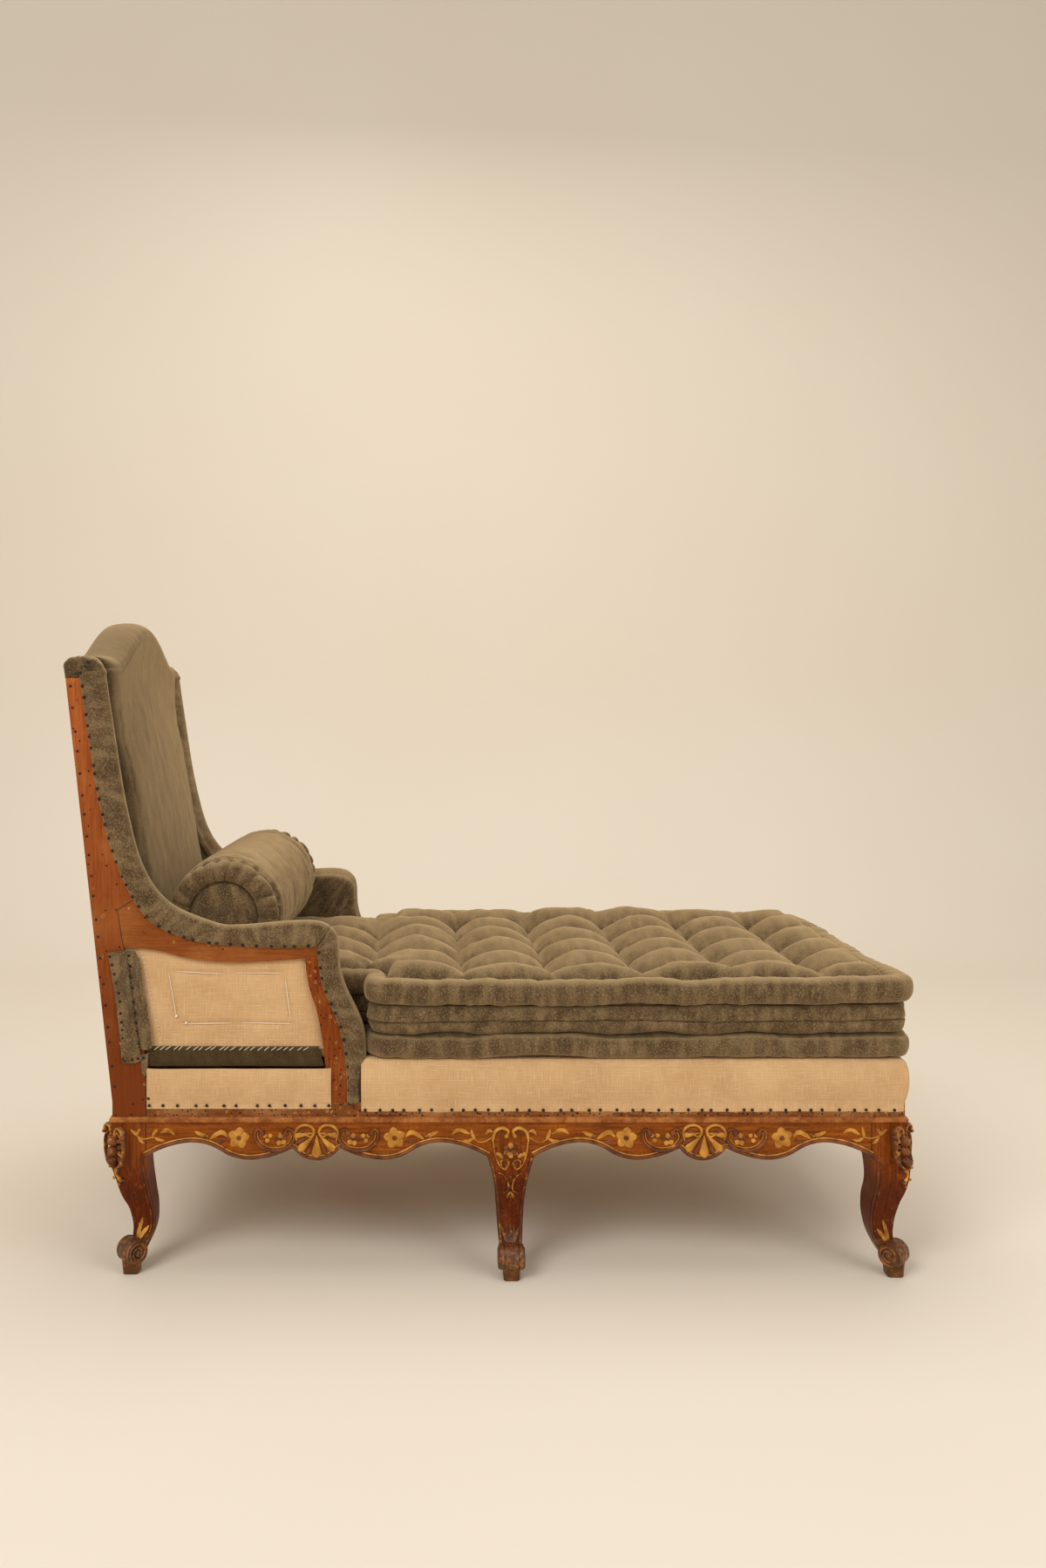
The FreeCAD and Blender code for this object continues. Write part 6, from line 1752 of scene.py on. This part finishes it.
# %% Corner legs
def knee():
    """Oval frame with ribs, and three balls one over another on the corner itself."""
    frame_half = ridge(smooth_curve([(-0.0130, 0.2680), (-0.0270, 0.2560), (-0.0310, 0.2400),
        (-0.0280, 0.2220), (-0.0190, 0.2060), (-0.0050, 0.1990)], 44), 0.0046, 0.0085, 0.50)
    rib = [leaf([(-0.0090, z), (-0.0170, z + 0.0020), (-0.0255, z + up)], 0.0095, 0.0080, gilt, 0)
           for z, up, gilt in ((0.2500, 0.0060, 0.6), (0.2390, 0.0010, 0.1),
                               (0.2280, -0.0050, 0.6), (0.2170, -0.0090, 0.15))]
    curl = scroll([(-0.0060, 0.2600), (-0.0080, 0.2710), (-0.0170, 0.2770), (-0.0270, 0.2730),
        (-0.0300, 0.2620)], 0.0085, 0.0105, 0.55, (0.8, 0.9))
    low = scroll([(-0.0130, 0.1985), (-0.0070, 0.2000), (-0.0030, 0.1930), (-0.0025, 0.1840),
        (-0.0060, 0.1770), (-0.0110, 0.1755)], 0.0044, 0.0085, 0.8, (1.2, 1.2))
    balls = [dome((0, z), r, 0.0105 + r * 0.7, g)
        for z, r, g in ((0.2500, 0.0120, 0.42), (0.2310, 0.0110, 0.36), (0.2120, 0.0100, 0.38))]
    drop = leaf([(0, 0.1590), (0, 0.1680), (0, 0.1760)], 0.0075, 0.0090, 0.8, 0)
    ankle = [leaf([(0, 0.0780), (0, 0.0960), (0, 0.1180)], 0.0110, 0.0085, 0.4, 3)]
    return joined([both_hands([frame_half, curl, low] + rib)] + balls + [drop] + ankle)


def corner_side():
    """Near face of a corner leg: leaves at head and ankle, a raised line down the inner edge."""
    line = smooth_curve(leg(462, (326, 400), (352, 450), (366, 520), (366, 620), (352, 760),
        (336, 900), (334, 1020), (352, 1120), (396, 1200)), 70)
    return joined([leaf(leg(462, (368, 186), (402, 228), (456, 188)), 0.0084),
                   leaf(leg(462, (388, 258), (352, 300), (326, 314)), 0.0070),
                   ridge(line, 0.0052, 0.0034, 0.30),
                   ridge(line + [0.0058, 0.0], 0.0026, 0.0022, 0.40),
                   leaf(leg(462, (474, 1196), (436, 1132), (380, 1062)), 0.0100, 0.0036, 0.8, 3),
                   leaf(leg(462, (482, 1190), (462, 1080), (430, 984)), 0.0096, 0.0036, 0.7, 3)])


for x0, sign, table, toe in ((foot_x, 1, FOOT_LEG, FOOT_TOE), (rear_x, -1, REAR_LEG, REAR_TOE)):
    side, end = leg_faces(table, toe)
    leg_carvings.append(on_knee(knee(), x0, sign, side, end))
    near = corner_side()
    shift = (along_leg(near["points"][:, 1], table, lambda share, half, out: out)
        - along_leg(near["points"][:, 1], FOOT_LEG, lambda share, half, out: out))
    near["points"] = near["points"] + stacked(shift, 0 * shift, 0 * shift)
    leg_carvings.append(on_leg_side(near if sign > 0 else turned_over(near, 0.0), x0, side))
    leg_carvings.append(on_leg_end(near if sign < 0 else turned_over(near, 0.0), x0, sign, end))
print(len(leg_carvings), "groups of carving on the legs")

# %% [markdown]
# Each toe is rolled up like a volute: a swelling roll over the CAD's cylinder, and a raised
# spiral on both of its ends. Low dark ridges draw the lines where boards meet.

# %% Toes
TOE_R, TOE_Z, TOE_WIDE = 0.021, 0.040, 0.040


def toe_roll(centre, out, wide):
    """Roll of the toe, over 253 degrees: it swells in the middle and in a bead at each side."""
    out = np.array([*out, 0.0])
    aside = np.array([-out[1], out[0], 0.0])
    turn = np.radians(np.linspace(-88, 165, 40))[:, None, None]
    s = np.linspace(-1, 1, 33)[None, :, None]
    middle = np.sqrt(np.clip(1 - (s / 0.56) ** 2, 0, 1))
    beads = np.sqrt(np.clip(1 - ((np.abs(s) - 0.80) / 0.20) ** 2, 0, 1))
    swell = np.maximum(middle, 0.55 * beads)
    r = TOE_R + 0.0003 + 0.0030 * swell
    up = np.array([0, 0, 1.0])
    points = (np.array([*centre, TOE_Z]) + aside * s * wide / 2
        + r * (out * np.cos(turn) + up * np.sin(turn)))
    return surface(points, flip=True, gilt=0.12, relief=swell[..., 0] + 0 * turn[..., 0])


def toe_spiral(centre, out, wide, side):
    """Raised spiral on an end of the roll, its radius falling from 19 to 4 mm in 2.1 turns."""
    t = np.linspace(0, 1, 90)
    turn = math.radians(-60) + side * 2.1 * 2 * math.pi * t
    r = 0.0190 - 0.0150 * t
    part = joined([ridge(stacked(r * np.cos(turn), r * np.sin(turn)), 0.0046 - 0.0014 * t,
                   0.0034, 0.15, columns=7),
                   dome((0, 0), 0.0040, 0.0045, 0.2)])
    u, v, h = part["points"].T[..., None]
    out = np.array([*out, 0.0])
    aside = side * np.array([-out[1], out[0], 0.0])
    points = (np.array([*centre, TOE_Z]) + out * u + np.array([0, 0, 1.0]) * v
        + aside * (wide / 2 - 0.0004 + h))
    return dict(part, points=points, faces=part["faces"][:, ::-1] if side > 0 else part["faces"])


def joint_line(points):
    """A shadow line where two boards meet: a low ridge without relief takes the low places' painted
    shade.
    """
    part = ridge(smooth_curve(points, 30), 0.0022, 0.0017, columns=5)
    return on_side(dict(part, relief=0 * part["relief"]))


shoulder = [photo_xz(*p) for p in ((141.4, 1086.5), (138.0, 1065.0), (134.6, 1044.0))]
cheek = [photo_xz(*p) for p in ((134.6, 1044.0), (143.0, 1038.8), (152.4, 1033.0))]
leg_carvings += [joint_line(shoulder), joint_line(cheek)]
leg_carvings += [joint_line([(x, z) for z in heights])
                 for x, heights in ((HEAD_X + BLOCK, (0.400, 0.350, 0.297)),
                                    (HEAD_X + BLOCK, (0.283, 0.255, 0.226)),
                                    (FOOT_X - BLOCK, (0.283, 0.255, 0.226)))]
toes = [((foot_x + 0.010, -LEG_Y - 0.031), (DIAGONAL, -DIAGONAL), TOE_WIDE),
        ((rear_x + 0.003, -LEG_Y - 0.018), (-DIAGONAL, -DIAGONAL), TOE_WIDE),
        ((MIDDLE_X, -LEG_Y - 0.046), (0.0, -1.0), TOE_WIDE + 0.006)]
for centre, out, wide in toes:
    leg_carvings.append(toe_roll(centre, out, wide))
    leg_carvings += [toe_spiral(centre, out, wide, side) for side in (-1, 1)]

near_carving = joined(leg_carvings)
for side, part in (("right", near_carving), ("left", mirrored(near_carving))):
    piece("leg_carving_" + side, part, GILDING, "chaise")
print(len(near_carving["faces"]), "faces of carving on the legs of each side")

# %% [markdown]
# ## Finishes of the frame
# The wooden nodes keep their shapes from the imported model, and get the grain that runs along
# each board. Inside pieces are sawn and left pale.

# %% Finishes of the frame
def dress(names, finish):
    """Gives each named piece of the frame this finish alone."""
    for name in names:
        NODES[name].data.materials.clear()
        NODES[name].data.materials.append(finish)


SIDES = ("_right", "_left")
dress(["rear_post" + s for s in SIDES], BEECH_POST)
dress(["arm_rail" + s for s in SIDES], BEECH_ARM)
dress(["arm_stump" + s for s in SIDES], BEECH_STUMP)
dress(["side_rail" + s for s in SIDES] + ["foot_rail"], VARNISHED_RAIL)
dress([leg + s for leg in ("foot_leg", "middle_leg") for s in SIDES], VARNISHED_LEG)
dress(["rear_rail", "seat_cross_rail", "corner_blocks", "back_crest_rail", "back_lower_rail"]
      + ["arm_tack_rail" + s for s in SIDES], BEECH_INNER)

# %% [markdown]
# ## Room, light and camera
# A pale floor that runs up into a backdrop, a soft key from the upper left in front, a
# broad fill and the world's own light. The camera looks level, and shifts down.

# %% Room, light and camera
def backdrop():
    """Floor and wall in one sheet: the profile is flat, then a quarter round, then upright."""
    y = np.concatenate([np.linspace(-9, 2.2, 12),
        2.2 + 1.2 * np.sin(np.linspace(0, math.pi / 2, 16)[1:]), np.full(6, 3.4)])
    z = np.concatenate([np.zeros(12), 1.2 - 1.2 * np.cos(np.linspace(0, math.pi / 2, 16)[1:]),
        np.linspace(1.8, 7, 6)])
    x = np.linspace(-9, 9, 10)
    return surface(stacked(x[:, None], y[None], z[None]))


PAPER, tree, bsdf, place = start_finish("warm_paper_backdrop", Roughness=0.95)
wash = mottled(tree, place, 1.25)
tree.links.new(mixed(tree, wash, "#e9dcc8", "#eee3d2"), bsdf.inputs["Base Color"])
part = backdrop()
mesh = bpy.data.meshes.new("backdrop")
mesh.from_pydata(part["points"].tolist(), [], part["faces"].tolist())
mesh.polygons.foreach_set("use_smooth", np.ones(len(mesh.polygons), dtype=bool))
mesh.materials.append(PAPER)
room = bpy.data.objects.new("backdrop", mesh)
bpy.context.scene.collection.objects.link(room)


def lamp(name, place, target, size, power):
    """Area lamp at a place, turned so that it shines at the target."""
    data = bpy.data.lights.new(name, "AREA")
    data.shape, data.size, data.energy = "SQUARE", size, power
    thing = bpy.data.objects.new(name, data)
    thing.location = place
    thing.rotation_euler = (Vector(target) - thing.location).to_track_quat("-Z", "Y").to_euler()
    bpy.context.scene.collection.objects.link(thing)


lamp("key", (-3.0, -4.2, 4.4), (0, 0, 0.4), 3.0, 170)
lamp("fill", (3.6, -3.4, 2.4), (0, 0, 0.5), 3.0, 68)
lamp("top", (0.2, 0.5, 4.2), (0, 0, 0.3), 3.4, 68)
world = bpy.data.worlds.new("studio")
bpy.context.scene.world = world
world.use_nodes = True
world.node_tree.nodes["Background"].inputs["Color"].default_value = linear("#fbf6ee")
world.node_tree.nodes["Background"].inputs["Strength"].default_value = 0.42

data = bpy.data.cameras.new("camera")
data.lens, data.sensor_width, data.sensor_fit = 29.4, 36.0, "AUTO"
data.shift_x, data.shift_y = 0.0667, -0.0559
camera = bpy.data.objects.new("camera", data)
camera.location, camera.rotation_euler = (-0.1324, -2.780, 1.0833), (math.pi / 2, 0, 0)
bpy.context.scene.collection.objects.link(camera)
bpy.context.scene.camera = camera
bpy.context.scene.view_settings.view_transform = "Standard"
